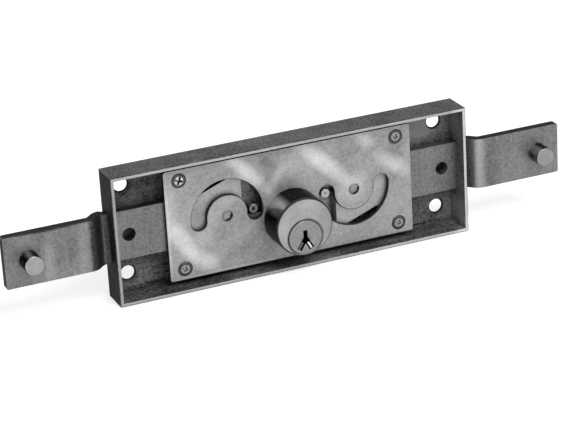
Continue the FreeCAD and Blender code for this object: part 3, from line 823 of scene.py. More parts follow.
    def bevel(self, edges: Iterable[Edge], width: float, segments: int = 2) -> "Solid":
        """Rounds some edges, and returns the solid."""
        bmesh.ops.bevel(self.bm, geom=list(edges), offset=width, offset_type="OFFSET", segments=segments,
                        profile=0.5, affect="EDGES", clamp_overlap=False, material=-1, loop_slide=True)
        return self

    def sharp_edges(self) -> list[Edge]:
        """The edges that turn by more than the sharp angle."""
        return [e for e in self.bm.edges if e.is_manifold and e.calc_face_angle(0.0) > SHARP_ANGLE]

    def edges_at(self, wanted: PointTest, sharp: bool = False) -> list[Edge]:
        """The edges, or only the sharp ones, whose two ends meet a test."""
        edges = self.sharp_edges() if sharp else self.bm.edges
        return [e for e in edges if all(wanted(v.co) for v in e.verts)]

    def edges_in_depth(self) -> list[Edge]:
        """The edges that run from front to back."""
        return [e for e in self.bm.edges if abs(e.verts[0].co.y - e.verts[1].co.y) > 1.0]

    def ease(self, width: float = 0.12, segments: int = 2) -> "Solid":
        """Takes the sharpness off every sharp edge, and returns the solid."""
        return self.bevel(self.sharp_edges(), width, segments)

    def paint(self, index: int, wanted: FaceTest) -> "Solid":
        """Gives the faces that a test picks another of the piece's finishes.

        Args:
            index: The finish's number.
            wanted: The test, of a face's normal and its centre.

        Returns:
            This solid.
        """
        for face in self.bm.faces:
            if wanted(face.normal, face.calc_center_median()):
                face.material_index = index
        return self

    def finish(self, name: str, body: str, slot: str, finishes: Sequence[Metal], *replaces: str) -> Piece:
        """Makes the solid a piece of the lock, in metres.

        Args:
            name: The piece's name.
            body: The CAD body that it rides on.
            slot: The record's material slot; not used.
            finishes: Its finishes, in the order of their numbers.
            replaces: The CAD nodes that it stands for.

        Returns:
            The piece.
        """
        bmesh.ops.scale(self.bm, verts=self.bm.verts[:], vec=(MM, MM, MM))
        item = self.as_object(name)
        for metal in finishes:
            item.data.materials.append(metal.material())
        item.data.shade_smooth()
        item.data.set_sharp_from_angle(angle=SHARP_ANGLE)
        weighted = item.modifiers.new("even_faces", "WEIGHTED_NORMAL")
        weighted.keep_sharp = True
        weighted.weight = FACE_WEIGHT
        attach(item, body)
        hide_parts(*replaces)
        LOG.info("%s: %d faces on %s", name, len(item.data.polygons), body)
        return item


class Outline:
    """A closed line in the plane of the front, drawn corner by corner and arc by arc."""

    def __init__(self, x: float, z: float) -> None:
        """Starts the line at a point."""
        self.bm = bmesh.new()
        self.last = self.bm.verts.new((x, 0.0, z))

    def line(self, *points: tuple[float, float]) -> "Outline":
        """Draws straight lines.

        Args:
            points: The points that they go to, one after another.

        Returns:
            The outline.
        """
        for x, z in points:
            point = self.bm.verts.new((x, 0.0, z))
            self.bm.edges.new((self.last, point))
            self.last = point
        return self

    def arc(self, x: float, z: float, degrees: float, steps: int = 24) -> "Outline":
        """Draws an arc about a centre.

        Args:
            x: The centre's place along X.
            z: The centre's place along Z.
            degrees: The arc's angle, counter-clockwise as seen from the front.
            steps: Straight pieces.

        Returns:
            The outline.
        """
        swept = bmesh.ops.spin(self.bm, geom=[self.last], cent=(x, 0.0, z), axis=FRONT_AXIS,
                               angle=math.radians(degrees), steps=steps)
        self.last = swept["geom_last"][0]
        return self

    def closed(self) -> "Outline":
        """Joins the ends.

        Returns:
            The outline.
        """
        bmesh.ops.remove_doubles(self.bm, verts=self.bm.verts[:], dist=1e-3)
        loose = [v for v in self.bm.verts if len(v.link_edges) == 1]
        if len(loose) == 2:
            self.bm.edges.new(loose)
        return self


def in_scene(name: str, data: bpy.types.ID) -> Piece:
    """Puts a mesh, a lamp or a camera in the scene.

    Args:
        name: The object's name.
        data: The mesh, the lamp or the camera.

    Returns:
        The object.
    """
    item = bpy.data.objects.new(name, data)
    bpy.context.scene.collection.objects.link(item)
    return item


def rounded(radius: float, edge: float, depth: float, steps: int = 5) -> Profile:
    """A turned piece's flat front and rounded front edge, as the start of its profile.

    Args:
        radius: The piece's radius.
        edge: The rounding's radius.
        depth: The depth of the front face.
        steps: Straight pieces of the rounding.

    Returns:
        Radius and depth of each point, from the front face to the side.
    """
    angles = [math.pi / 2 * i / steps for i in range(steps + 1)]
    return [(radius - edge + edge * math.sin(a), depth + edge - edge * math.cos(a)) for a in angles]


def domed(radius: float, rise: float, depth: float, steps: int = 6) -> Profile:
    """A shallow dome, as the start of a turned piece's profile.

    Args:
        radius: The dome's radius as seen from the front.
        rise: How far its top stands out.
        depth: The depth of its rim.
        steps: Straight pieces.

    Returns:
        Radius and depth of each point, from the top on the axis to the rim.
    """
    ball = (radius ** 2 + rise ** 2) / (2 * rise)
    radii = [radius * i / steps for i in range(steps + 1)]
    return [(r, depth + ball - rise - math.sqrt(ball ** 2 - r ** 2)) for r in radii]


def four_corners(x: float, z: float) -> list[tuple[float, float]]:
    """The four places of a rectangular pattern."""
    return [(sx * x, sz * z) for sx in (-1, 1) for sz in (-1, 1)]


def pair(x: float) -> list[tuple[float, float]]:
    """Two places on the centre line, one in each half."""
    return [(-x, 0.0), (x, 0.0)]


def off_axis(point: Vector, x: float, z: float) -> float:
    """The distance of a point from an axis along Y."""
    return math.hypot(point.x - x, point.z - z)


@dataclass
class CaseTray:
    """The sheet steel case, open to the front.

    Attributes:
        length: Its length.
        height: Its height.
        sheet: The sheet's thickness.
        back_radius: The rounding of its back edges.
        corner_radius: The rounding of its outer corners.
        fixing_x: Half the fixing holes' spacing along X.
        fixing_z: Half their spacing along Z.
        fixing_r: Their radius.
        fixing_rim_width: The width of their rounded rims, which are painted in shade.
        window_half: Half the height of the bars' windows.
        window_gap: The gap in front of and behind a bar.
        rivet_r: The radius of the holes for the ends of posts and pillars.
        bush_r: The radius of the hole for the pinion's bush.
    """

    length: float = 155.0
    height: float = 55.0
    sheet: float = 1.5
    back_radius: float = 2.0
    corner_radius: float = 0.6
    fixing_x: float = 69.0
    fixing_z: float = 19.0
    fixing_r: float = 2.9
    fixing_rim_width: float = 0.6
    window_half: float = 10.7
    window_gap: float = 0.3
    rivet_r: float = 1.52
    bush_r: float = 5.52

    def tray(self) -> Solid:
        """Models the folded tray before its holes are cut.

        Returns:
            The tray.
        """
        half_x, half_z = self.length / 2, self.height / 2
        tray = Solid.box((-half_x, AT.rim, -half_z), (half_x, 0.0, half_z))
        front = [f for f in tray.bm.faces if f.normal.y < -0.9]
        bmesh.ops.inset_region(tray.bm, faces=front, thickness=self.sheet, use_even_offset=True)
        tray.pull(front, (0.0, AT.floor - AT.rim, 0.0))
        bmesh.ops.delete(tray.bm, geom=[f for f in front if f.is_valid], context="FACES_ONLY")
        tray.close()
        tray.bevel(tray.edges_at(lambda point: abs(point.y) < WELD), self.back_radius, 6)
        corners = tray.edges_at(lambda point: abs(point.x) > half_x - NEAR and abs(point.z) > half_z - NEAR)
        return tray.bevel(corners, self.corner_radius, 4)

    def build(self) -> None:
        """Models the case and dresses it."""
        tray = self.tray()
        low, high = AT.bar_front - self.window_gap, AT.bar_back + self.window_gap
        reach = self.length / 2
        window = Solid.box((-reach - 1, low, -self.window_half), (reach + 1, high, self.window_half))
        inner = reach - self.sheet
        room = Solid.box((-inner, low - 1, -self.height), (inner, high + 1, self.height))
        tray.shape(Op.CUT, window.shape(Op.CUT, room))
        tray.drill(four_corners(self.fixing_x, self.fixing_z), self.fixing_r, AT.floor, 0.0)
        tray.drill(four_corners(AT.screw_x, AT.screw_z), self.rivet_r, AT.floor, 0.0, 32)
        tray.drill(pair(AT.pivot_x), self.rivet_r, AT.floor, 0.0)
        tray.drill([(0.0, AT.plug_z)], self.bush_r, AT.floor, 0.0)
        tray.paint(1, lambda normal, centre: normal.y < -0.9 and centre.y < AT.rim + 0.1)
        # Inside faces take a lighter copy of the case finish, painted light, and the outer end walls a darker
        # copy, painted shade.
        tray.paint(2, self.is_inside)
        tray.paint(3, lambda normal, centre: normal.x * centre.x > 0.9 * (reach - 0.1))
        # The fixing holes' rounded rims are painted near black, painted shade.
        tray.bevel(tray.edges_at(self.at_fixing, sharp=True), self.fixing_rim_width)
        tray.paint(4, lambda normal, centre: self.at_fixing(centre) and abs(normal.y) < 0.95)
        tray.ease(0.14)
        finishes = (Finishes.CASE, Finishes.RIM, Finishes.BAY, Finishes.ENDS, Finishes.RECESS)
        tray.finish("case_tray", "housing", "case_steel", finishes, "case")

    def at_fixing(self, point: Vector) -> bool:
        """Whether a point lies on the wall of a fixing hole or on its rims."""
        far = math.hypot(abs(point.x) - self.fixing_x, abs(point.z) - self.fixing_z)
        return far < self.fixing_r + self.fixing_rim_width - 0.01

    def is_inside(self, normal: Vector, centre: Vector) -> bool:
        """Whether a face bounds the room inside the case.

        Args:
            normal: The face's normal.
            centre: Its centre.

        Returns:
            True if it does.
        """
        if abs(normal.y) > 0.9:
            return abs(centre.y - AT.floor) < 0.05
        near_x = abs(abs(centre.x) - self.length / 2 + self.sheet) < 0.05 and centre.x * normal.x < 0.0
        near_z = abs(abs(centre.z) - self.height / 2 + self.sheet) < 0.05 and centre.z * normal.z < 0.0
        return near_x or near_z


@dataclass
class CoverPlate:
    """The plate over the mechanism and its four corner screws.

    Attributes:
        length: The plate's length.
        height: Its height.
        corner_radius: The rounding of its corners.
        head_r: The radius of a screw's head.
        hole_r: The radius of a screw's hole.
        sink_depth: The depth of its countersink.
        slot_half: Half the width of a stud's slot.
        slot_overrun: How far the slot runs past half a turn at each end, in degrees.
        slot_rim_width: The width of the slots' rounded front rims, which are painted in shade.
        nose_r: The radius of the opening for the cylinder's nose.
        block_half: Half the width of the opening for its pin block.
        block_top: The top of that opening.
        cross_turn: The turn of the screws' crosses, in degrees.
        wing_half: Half the width of a cross's wings.
        shade_from: The radius from which a head is painted in shade.
        sharp_screw: The screw whose cross is least worn.
        sharp_cross: Half the length of its wings, and their depth.
        worn_cross: The same of the other screws.
        holder_r: The radius of the holes for the screws that hold the cylinder.
        holder_sink: The depth of their countersinks, and their radius at the back.
        post_r: The radius of the holes for the pivot posts.
    """

    length: float = 108.0
    height: float = 47.2
    corner_radius: float = 1.0
    head_r: float = 3.1
    hole_r: float = 1.5
    sink_depth: float = 1.65
    slot_half: float = 3.3
    slot_overrun: float = 3.3
    slot_rim_width: float = 0.32
    nose_r: float = 7.8
    block_half: float = 4.6
    block_top: float = 5.1
    cross_turn: float = 22.0
    wing_half: float = 0.45
    shade_from: float = 1.9
    sharp_screw: int = 2
    sharp_cross: tuple[float, float] = (2.0, 1.6)
    worn_cross: tuple[float, float] = (1.5, 0.7)
    holder_r: float = 1.3
    holder_sink: tuple[float, float] = (1.1, 2.4)
    post_r: float = 1.27

    def stud_slot(self) -> Solid:
        """Models the curved slot over the left pivot, which ends a little below it on both sides.

        Returns:
            The slot as a solid.
        """
        x, r, over = -AT.pivot_x, AT.crank_r, math.radians(self.slot_overrun)
        far, sweep = r + self.slot_half, 180.0 + 2 * self.slot_overrun
        outline = Outline(x + far * math.cos(over), -far * math.sin(over))
        outline.arc(x, 0.0, sweep, 64).arc(x - r * math.cos(over), -r * math.sin(over), 180.0)
        outline.arc(x, 0.0, -sweep, 48).arc(x + r * math.cos(over), -r * math.sin(over), 180.0)
        return Solid.prism(outline.closed(), AT.cover_front - 1, AT.cover_back + 1)

    def plate(self) -> Solid:
        """Models the plate with all its openings.

        Returns:
            The plate.
        """
        front, back = AT.cover_front, AT.cover_back
        half_x, half_z = self.length / 2, self.height / 2
        plate = Solid.box((-half_x, front, -half_z), (half_x, back, half_z))
        plate.bevel(plate.edges_in_depth(), self.corner_radius, 5)
        slot = self.stud_slot()
        plate.shape(Op.CUT, slot, slot.turned_round())
        plate.bevel(plate.edges_at(self.on_slot_rim, sharp=True), self.slot_rim_width, 3)
        plate.drill([(0.0, AT.plug_z)], self.nose_r, front, back, 96)
        low, high = (-self.block_half, front - 1, AT.plug_z), (self.block_half, back + 1, self.block_top)
        plate.shape(Op.CUT, Solid.box(low, high))
        for x, z in four_corners(AT.screw_x, AT.screw_z):
            sink = Solid.rod(x, z, self.head_r + 0.05, front, front + self.sink_depth, self.hole_r, 48)
            plate.shape(Op.CUT, sink).drill([(x, z)], self.hole_r, front, back)
        depth, wide = self.holder_sink
        for x, z in pair(AT.holder_x):
            plate.shape(Op.CUT, Solid.rod(x, z, self.holder_r, back - depth, back, wide, 40))
            plate.drill([(x, z)], self.holder_r, front, back, 40)
        return plate.drill(pair(AT.pivot_x), self.post_r, front, back, 40)

    def on_slot_rim(self, point: Vector) -> bool:
        """Whether a point lies on the front face well inside the plate's outline."""
        inside = abs(point.x) < self.length / 2 - 2.0 and abs(point.z) < self.height / 2 - 2.0
        return inside and point.y < AT.cover_front + 0.01

    def at_outline(self, point: Vector) -> bool:
        """Whether a point lies on the eased edge round the plate."""
        return abs(point.x) > self.length / 2 - 0.4 or abs(point.z) > self.height / 2 - 0.4

    def screw(self, x: float, z: float, half: float, depth: float) -> Solid:
        """Models a raised countersunk screw with a cross recess.

        Args:
            x: Its place along X.
            z: Its place along Z.
            half: Half the length of the cross's wings.
            depth: The depth of the cross.

        Returns:
            The screw.
        """
        top = AT.cover_front - 0.35
        profile = domed(2.2, 0.16, top + 0.16)
        profile += [(2.5, top + 0.2), (2.8, top + 0.3), (3.0, top + 0.5), (1.45, top + 2.05)]
        profile += [(1.45, top + 6.2), (1.1, top + 6.5), (0.0, top + 6.5)]
        screw = Solid.lathe(profile, x, z, 64)
        for degrees in (0.0, 90.0):
            low, high = (x - half, top - 0.3, z - self.wing_half), (x + half, top + depth, z + self.wing_half)
            wing = Solid.box(low, high)
            deep = [v for v in wing.bm.verts if v.co.y > top]
            about = Matrix.Translation((-x, 0.0, -z))
            bmesh.ops.scale(wing.bm, vec=(0.35, 1.0, 0.7), verts=deep, space=about)
            screw.shape(Op.CUT, wing.turn((x, 0.0, z), degrees + self.cross_turn))
        # The cross recess and the rim of the head are painted dark, painted shade.
        screw.paint(2, lambda normal, centre: normal.y > -0.9)
        screw.paint(1, lambda normal, centre: off_axis(centre, x, z) > self.shade_from)
        return screw.ease(0.04, 1)

    def build(self) -> None:
        """Models the plate and its screws and dresses them."""
        # The plate's walls and bevels take the near-black edge finish, painted shade; the bevels round its
        # outline keep the plate's own finish.
        plate = self.plate().ease(0.22).paint(1, lambda normal, centre: abs(normal.y) < 0.97)
        plate.paint(0, lambda normal, centre: normal.y < -0.6 and self.at_outline(centre))
        finishes = (Finishes.COVER, Finishes.COVER_EDGE)
        plate.finish("cover_sheet", "housing", "cover_steel", finishes, "cover_plate")
        for number, (x, z) in enumerate(four_corners(AT.screw_x, AT.screw_z), start=1):
            if number == self.sharp_screw:
                screw = self.screw(x, z, *self.sharp_cross)
                finishes = (Finishes.BRIGHT, Finishes.HEAD_SHADE, Finishes.RECESS)
            else:
                screw = self.screw(x, z, *self.worn_cross)
                finishes = (Finishes.SCREW, Finishes.HEAD_SHADE, Finishes.HEAD_SHADE)
            screw.finish("cover_screw_%d" % number, "housing", "screw_steel", finishes, "cover_screws")


@dataclass
class BoltBars:
    """The two joggled bolt bars with their rod pins.

    Attributes:
        inner: The inner end's distance from the centre.
        reach: The outer end's distance from the centre.
        half: Half a bar's height.
        flare: How far the bar is taller outside the case, above and below.
        flare_from: Where it starts to grow taller.
        flare_run: The length on which it grows.
        corner: The rounding of the outer end's corners.
        joggle_from: Where the joggle starts.
        joggle_to: Where it ends.
        step: How far it brings the bar forward.
        bend: The inner radius of its bends.
        arm_top: The top of the yoke's arm.
        arm_in: How far inside the pivot the arm's top ends.
        arm_out: How far outside the pivot its slope ends.
        yoke_half: Half the width of the yoke's slot.
        yoke_low: The slot's lower end.
        yoke_high: Its upper end.
        yoke_corner: The rounding of its corners.
        passage: The radius of the way round the pivot post.
        link_x: The link hole's distance from the centre.
        link_r: Its radius.
        tail_r: The radius of the hole for the rod pin's tail.
        pin_front: The depth of the rod pin's face.
    """

    inner: float = 8.4
    reach: float = 122.0
    half: float = 10.4
    flare: float = 0.45
    flare_from: float = 78.6
    flare_run: float = 1.5
    corner: float = 0.8
    joggle_from: float = 80.5
    joggle_to: float = 84.5
    step: float = 4.0
    bend: float = 1.0
    arm_top: float = 17.2
    arm_in: float = 7.688
    arm_out: float = 10.5
    yoke_half: float = 4.688
    yoke_low: float = -2.3
    yoke_high: float = 14.5
    yoke_corner: float = 1.5
    passage: float = 1.85
    link_x: float = 69.2
    link_r: float = 2.75
    tail_r: float = 2.52
    pin_front: float = -19.4

    def strip(self) -> Solid:
        """Models the bent strip, as tall as the yoke's arm.

        Returns:
            The left bar's strip.
        """
        front, back = AT.bar_front, AT.bar_back
        thick, half_bend = back - front, math.atan2(self.step, self.joggle_to - self.joggle_from) / 2
        shift = thick * math.tan(half_bend)
        front_in, front_out = (-self.joggle_from, front), (-self.joggle_to, front - self.step)
        back_in, back_out = (-self.joggle_from - shift, back), (-self.joggle_to - shift, back - self.step)
        line = [(-self.inner, front), front_in, front_out, (-self.reach, front - self.step)]
        line += [(-self.reach, back - self.step), back_out, back_in, (-self.inner, back)]
        strip = Solid()
        bottom = -self.half - self.flare
        face = strip.bm.faces.new([strip.bm.verts.new((x, y, bottom)) for x, y in line])
        strip.pull([face], (0.0, 0.0, self.arm_top - bottom), keep=True).close()
        for radius, places, segments in ((self.bend, (front_in, back_out), 5),
                                         (self.bend + thick, (front_out, back_in), 14)):
            edges = strip.edges_at(lambda point: any(math.dist(point[:2], place) < NEAR for place in places))
            strip.bevel(edges, radius * math.tan(half_bend), segments)
        return strip

    def outline(self) -> Outline:
        """Draws the left bar as seen from the front.

        Returns:
            The closed outline.
        """
        half, tall, arm = self.half, self.half + self.flare, self.arm_top
        step, end, turn = -self.flare_from, -self.reach + self.corner, tall - self.corner
        outline = Outline(-self.inner, -half)
        outline.line((-self.inner, arm), (self.arm_in - AT.pivot_x, arm), (-AT.pivot_x - self.arm_out, half))
        outline.line((step, half), (step - self.flare_run, tall), (end, tall)).arc(end, turn, 90.0, 5)
        outline.line((-self.reach, -turn)).arc(end, -turn, 90.0, 5)
        return outline.line((step - self.flare_run, -tall), (step, -half)).closed()

    def bar(self) -> Solid:
        """Models the left bar with its yoke, passage and holes.

        Returns:
            The bar.
        """
        front, back = AT.bar_front, AT.bar_back
        bar = self.strip().shape(Op.KEEP, Solid.prism(self.outline(), front - self.step - 1, back + 1))
        x = -AT.pivot_x
        left, right = x + AT.crank_r - self.yoke_half, x + AT.crank_r + self.yoke_half
        yoke = Solid.box((left, front - 1, self.yoke_low), (right, back + 1, self.yoke_high))
        yoke.bevel(yoke.edges_in_depth(), self.yoke_corner, 5)
        passage = Solid.box((x, front - 1, -self.passage), (1 - self.inner, back + 1, self.passage))
        bar.shape(Op.CUT, yoke, passage).drill([(x, 0.0)], self.passage, front, back, 40)
        bar.drill([(-self.link_x, 0.0)], self.link_r, front, back)
        bar.drill([(-AT.pin_x, 0.0)], self.tail_r, front - self.step, back)
        # Top, bottom and end faces take the near-black edge finish, painted shade, and the yoke's left wall a
        # light finish, painted light.
        bar.paint(1, lambda normal, centre: abs(normal.z) > 0.5
                  or (abs(normal.x) > 0.97 and abs(normal.y) < 0.1))
        bar.paint(2, lambda normal, centre: normal.x > 0.9 and abs(centre.x - left) < 0.1)
        return bar.ease(0.18)

    def rod_pin(self) -> Solid:
        """Models the left rod pin with its riveted tail.

        Returns:
            The pin.
        """
        shoulder, tail = AT.bar_front - self.step, AT.bar_back - self.step
        profile = [(0.0, self.pin_front)] + rounded(AT.pin_r, 0.4, self.pin_front)
        profile += [(AT.pin_r, shoulder - 0.25), (AT.pin_r - 0.25, shoulder), (2.5, shoulder)]
        profile += [(2.5, tail - 0.3), (2.2, tail - 0.05), (1.2, tail), (0.0, tail)]
        # The pin's side takes a near-black finish with painted highlights.
        return Solid.lathe(profile, -AT.pin_x).paint(1, lambda normal, centre: abs(normal.y) < 0.8)

    def build(self) -> None:
        """Models both bars and both pins and dresses them."""
        bar, pin = self.bar(), self.rod_pin()
        shapes = {Side.LEFT: (bar, pin), Side.RIGHT: (bar.turned_round(), pin.turned_round())}
        for side, (strip, stud) in shapes.items():
            word = side.word
            finishes = (Finishes.BAR, Finishes.BAR_EDGE, Finishes.YOKE)
            strip.finish("bar_strip_" + word, "bar_" + word, "bar_steel", finishes, "bolt_bar_" + word)
            finishes = (Finishes.PIN_FACE, Finishes.PIN_SIDE)
            stud.finish("rod_stud_" + word, "bar_" + word, "rod_pin_steel", finishes, "rod_pin_" + word)


@dataclass
class CrankDrive:
    """The crank studs and pivot posts; the gears under the cover keep their CAD shapes.

    Attributes:
        stud_r: A stud's radius.
        stud_front: The depth of its face.
        head_r: The radius of a post's head.
        head_rise: How far the head stands out of the cover.
        stud_finishes: The finishes of each stud's face and dimple: the left a darker copy with a near-black
            dimple, painted shade, the right a lighter copy, painted light, with its dimple in the darker
            copy.
    """

    stud_r: float = 2.0
    stud_front: float = -8.5
    head_r: float = 2.4
    head_rise: float = 0.6
    stud_finishes: dict[Side, tuple[Metal, Metal]] = field(default_factory=lambda: {
        Side.LEFT: (Finishes.STUD_SHADED, Finishes.RECESS), Side.RIGHT: (Finishes.STUD_BRIGHT, Finishes.STUD_SHADED)})

    def stud(self, side: Side) -> Solid:
        """Models a crank stud with a dimple in its face.

        Args:
            side: The half of the lock that it is in.

        Returns:
            The stud.
        """
        front, tail = self.stud_front, AT.gear_back - 0.1
        profile = [(0.0, front + 0.5), (0.7, front)] + rounded(self.stud_r, 0.3, front, 3)
        profile += [(self.stud_r, AT.gear_front), (1.4, AT.gear_front), (1.4, tail), (0.0, tail)]
        x = side.value * (AT.pivot_x - AT.crank_r)
        stud = Solid.lathe(profile, x, 0.0, 64)
        # The dimple and the rounded edge take the second finish, on the left stud near black, painted shade.
        return stud.paint(1, lambda normal, centre: centre.y < -7.0
                          and (off_axis(centre, x, 0.0) < 0.69 or normal.y > -0.6))

    def post(self, side: Side) -> Solid:
        """Models a stepped pivot post with a riveted head.

        Args:
            side: The half of the lock that it is in.

        Returns:
            The post.
        """
        front, back = AT.cover_front, AT.cover_back
        profile = [(0.0, front - self.head_rise), (0.9, front - 0.57), (1.4, front - 0.50)]
        profile += [(1.8, front - 0.38), (2.1, front - 0.26), (2.3, front - 0.13)]
        profile += [(self.head_r, front), (1.25, front)]
        profile += [(1.25, back), (1.6, back), (1.6, AT.gear_front), (2.5, AT.gear_front - 0.05)]
        profile += [(2.5, AT.floor), (1.5, AT.floor), (1.5, -0.25), (1.35, -0.1), (0.0, -0.1)]
        x = side.value * AT.pivot_x
        post = Solid.lathe(profile, x, 0.0, 64)

        def on_head(centre: Vector, inner: float) -> bool:
            """Whether a point lies on the head, outside a radius."""
            return centre.y < front and off_axis(centre, x, 0.0) > inner

        # The head's rim is painted darker and a crescent on its lower right near black, both painted shade.
        post.paint(2, lambda normal, centre: on_head(centre, 1.75))
        return post.paint(1, lambda normal, centre: on_head(centre, 0.95)
                          and 0.74 * (centre.x - x) - 0.67 * centre.z > 0.40)

    def build(self) -> None:
        """Models the studs and posts and dresses them."""
        post_finishes = (Finishes.POST, Finishes.RECESS, Finishes.POST_RIM)
        for side in Side:
            word = side.word
            stud, post = self.stud(side), self.post(side)
            stud.finish("crank_pin_" + word, "crank_" + word, "post_steel", self.stud_finishes[side],
                        "crank_stud_" + word)
            post.finish("pivot_rivet_" + word, "housing", "post_steel", post_finishes, "pivot_post_" + word)


@dataclass
class KeyCylinder:
    """The key cylinder: shell, plug and the springs over its pins.

    Attributes:
        nose_r: The radius of the nose that reaches through the cover.
        nose_back: The depth at which it ends.
        block_half: Half the width of the pin block behind the barrel.
        block_top: The block's top.
        mouth_r: The radius of the bore's flared mouth.
        mouth_depth: How deep the flare is.
        seat_r: The radius of the seat for the plug's head.
        seat_depth: How deep the seat is.
        bore_r: The radius of the bore behind it.
        holder_r: The radius of the holes for the screws from behind.
        holder_depth: How deep they are.
        plug_r: The plug's radius.
        plug_back: The depth at which its round body ends.
        head_r: The radius of its head.
        head_depth: The length of its head.
        groove_r: The radius at the bottom of the clip's groove.
        groove: The depths of the groove's front and back.
        tang_r: The radius of the tang that turns the pinion.
        tang_half: Half the width across its flats.
        tang: The depths of its front and back.
        key_half: Half the width of the keyway's upright slot.
        hub_drop: How far below the plug's axis the keyway's legs meet.
        leg_turns: The turns of its two legs from upright, in degrees.
        leg_width: The width of a leg.
        leg_length: Its length.
        leg_back: The depth at which the keyway ends.
        ward_width: The width of the ward in each leg.
        ward_run: How far below the hub a ward starts and ends.
        wards: How far the ward painted in shade and the ward with a painted highlight lie behind the face.
        chambers: The pin chambers' depths.
        chamber_r: Their radius.
        cap_r: The radius of the wider room for a spring and its cap.
        face_edge: The rounding of the barrel's front.
        head_edge: The rounding of the plug's head.
        wire_r: The radius of the springs' wire.
        coil_r: The radius of a coil.
        spring_low: The lowest coil's centre.
        spring_high: The highest coil's centre.
        coils: Turns of a spring.
        coil_steps: Straight pieces of a turn.
        spring_keep: The share of a spring's length that is left with its driver pin lifted; not used.
    """

    nose_r: float = 7.7
    nose_back: float = -5.15
    block_half: float = 4.5
    block_top: float = 5.0
    mouth_r: float = 8.05
    mouth_depth: float = 0.45
    seat_r: float = 7.25
    seat_depth: float = 1.25
    bore_r: float = 6.55
    holder_r: float = 1.27
    holder_depth: float = 5.5
    plug_r: float = 6.5
    plug_back: float = -4.0
    head_r: float = 7.2
    head_depth: float = 1.2
    groove_r: float = 5.9
    groove: tuple[float, float] = (-5.12, -4.48)
    tang_r: float = 3.2
    tang_half: float = 2.0
    tang: tuple[float, float] = (-4.5, -0.3)
    key_half: float = 0.9
    hub_drop: float = 0.5
    leg_turns: tuple[float, float] = (33.0, -29.0)
    leg_width: float = 2.2
    leg_length: float = 5.4
    leg_back: float = -7.15
    ward_width: float = 0.8
    ward_run: tuple[float, float] = (2.1, 5.6)
    wards: tuple[float, float] = (0.5, 0.25)
    chambers: tuple[float, ...] = (-19.9, -16.7, -13.5, -10.3, -7.1)
    chamber_r: float = 1.28
    cap_r: float = 1.47
    face_edge: float = 0.9
    head_edge: float = 0.35
    wire_r: float = 0.15
    coil_r: float = 0.9
    spring_low: float = -0.60
    spring_high: float = 3.61
    coils: int = 7
    coil_steps: int = 20
    spring_keep: float = 0.69

    def shell(self) -> Solid:
        """Models the barrel with its rear block, the plug's bore and the chambers.

        Returns:
            The shell.
        """
        front, seat, back = AT.barrel_front, AT.cover_front, self.nose_back
        profile = [(0.0, front)] + rounded(AT.barrel_r, self.face_edge, front)
        profile += [(AT.barrel_r, seat), (0.0, seat)]
        shell = Solid.lathe(profile, 0.0, AT.barrel_z, 160)
        nose = Solid.rod(0.0, AT.plug_z, self.nose_r, seat - 1, back, steps=96)
        block = Solid.box((-self.block_half, seat - 1, AT.plug_z), (self.block_half, back, self.block_top))
        shell.shape(Op.ADD, nose.shape(Op.ADD, block))
        flare, step = front + self.mouth_depth, front + self.seat_depth
        bore = [(0.0, front - 1), (self.mouth_r, front - 1), (self.mouth_r, front), (self.seat_r, flare)]
        bore += [(self.seat_r, step), (self.bore_r, step), (self.bore_r, back + 1), (0.0, back + 1)]
        shell.shape(Op.CUT, Solid.lathe(bore, 0.0, AT.plug_z, 128))
        for y in self.chambers:
            shell.shape(Op.CUT, Solid.upright(y, self.chamber_r, AT.plug_z, 3.9))
            shell.shape(Op.CUT, Solid.upright(y, self.cap_r, 3.8, 9.0))
        shell.drill(pair(AT.holder_x), self.holder_r, seat - self.holder_depth, seat, 32)
        # The side takes a near-black finish with painted highlights; the rounded rim of the face and the
        # bore's flared mouth take dark finishes, painted shade.
        shell.paint(1, lambda normal, centre: normal.y > -0.9 and centre.y < seat)
        shell.paint(3, lambda normal, centre: -0.97 < normal.y < -0.1 and centre.y < front + self.face_edge)
        return shell.paint(2, lambda normal, centre: -0.97 < normal.y < -0.1 and centre.y < front + 0.5
                           and off_axis(centre, 0.0, AT.plug_z) < self.mouth_r + 0.05)

    def leg(self, width: float, low: float, high: float, front: float, degrees: float) -> Solid:
        """Models a straight run of the keyway below its hub, splayed by an angle.

        Args:
            width: Its width.
            low: How far below the hub it ends.
            high: How far below the hub it starts.
            front: The depth of its front.
            degrees: Its turn from upright.

        Returns:
            The run as a solid.
        """
        hub = AT.plug_z - self.hub_drop
        run = Solid.box((-width / 2, front, hub - low), (width / 2, self.leg_back, hub - high))
        return run.turn((0.0, 0.0, hub), degrees)

    def key_opening(self) -> Solid:
        """Models the key's way in: an upright slot and two splayed legs.

        Returns:
            The opening as a solid.
        """
        front, back, hub = AT.barrel_front - 1, self.leg_back, AT.plug_z - self.hub_drop
        half = self.key_half
        opening = Solid.box((-half, front, hub), (half, back, AT.plug_z + 3.0))
        legs = [self.leg(self.leg_width, self.leg_length, 0.0, front, degrees) for degrees in self.leg_turns]
        return opening.shape(Op.ADD, Solid.rod(0.0, hub, half, front, back, steps=32), *legs)

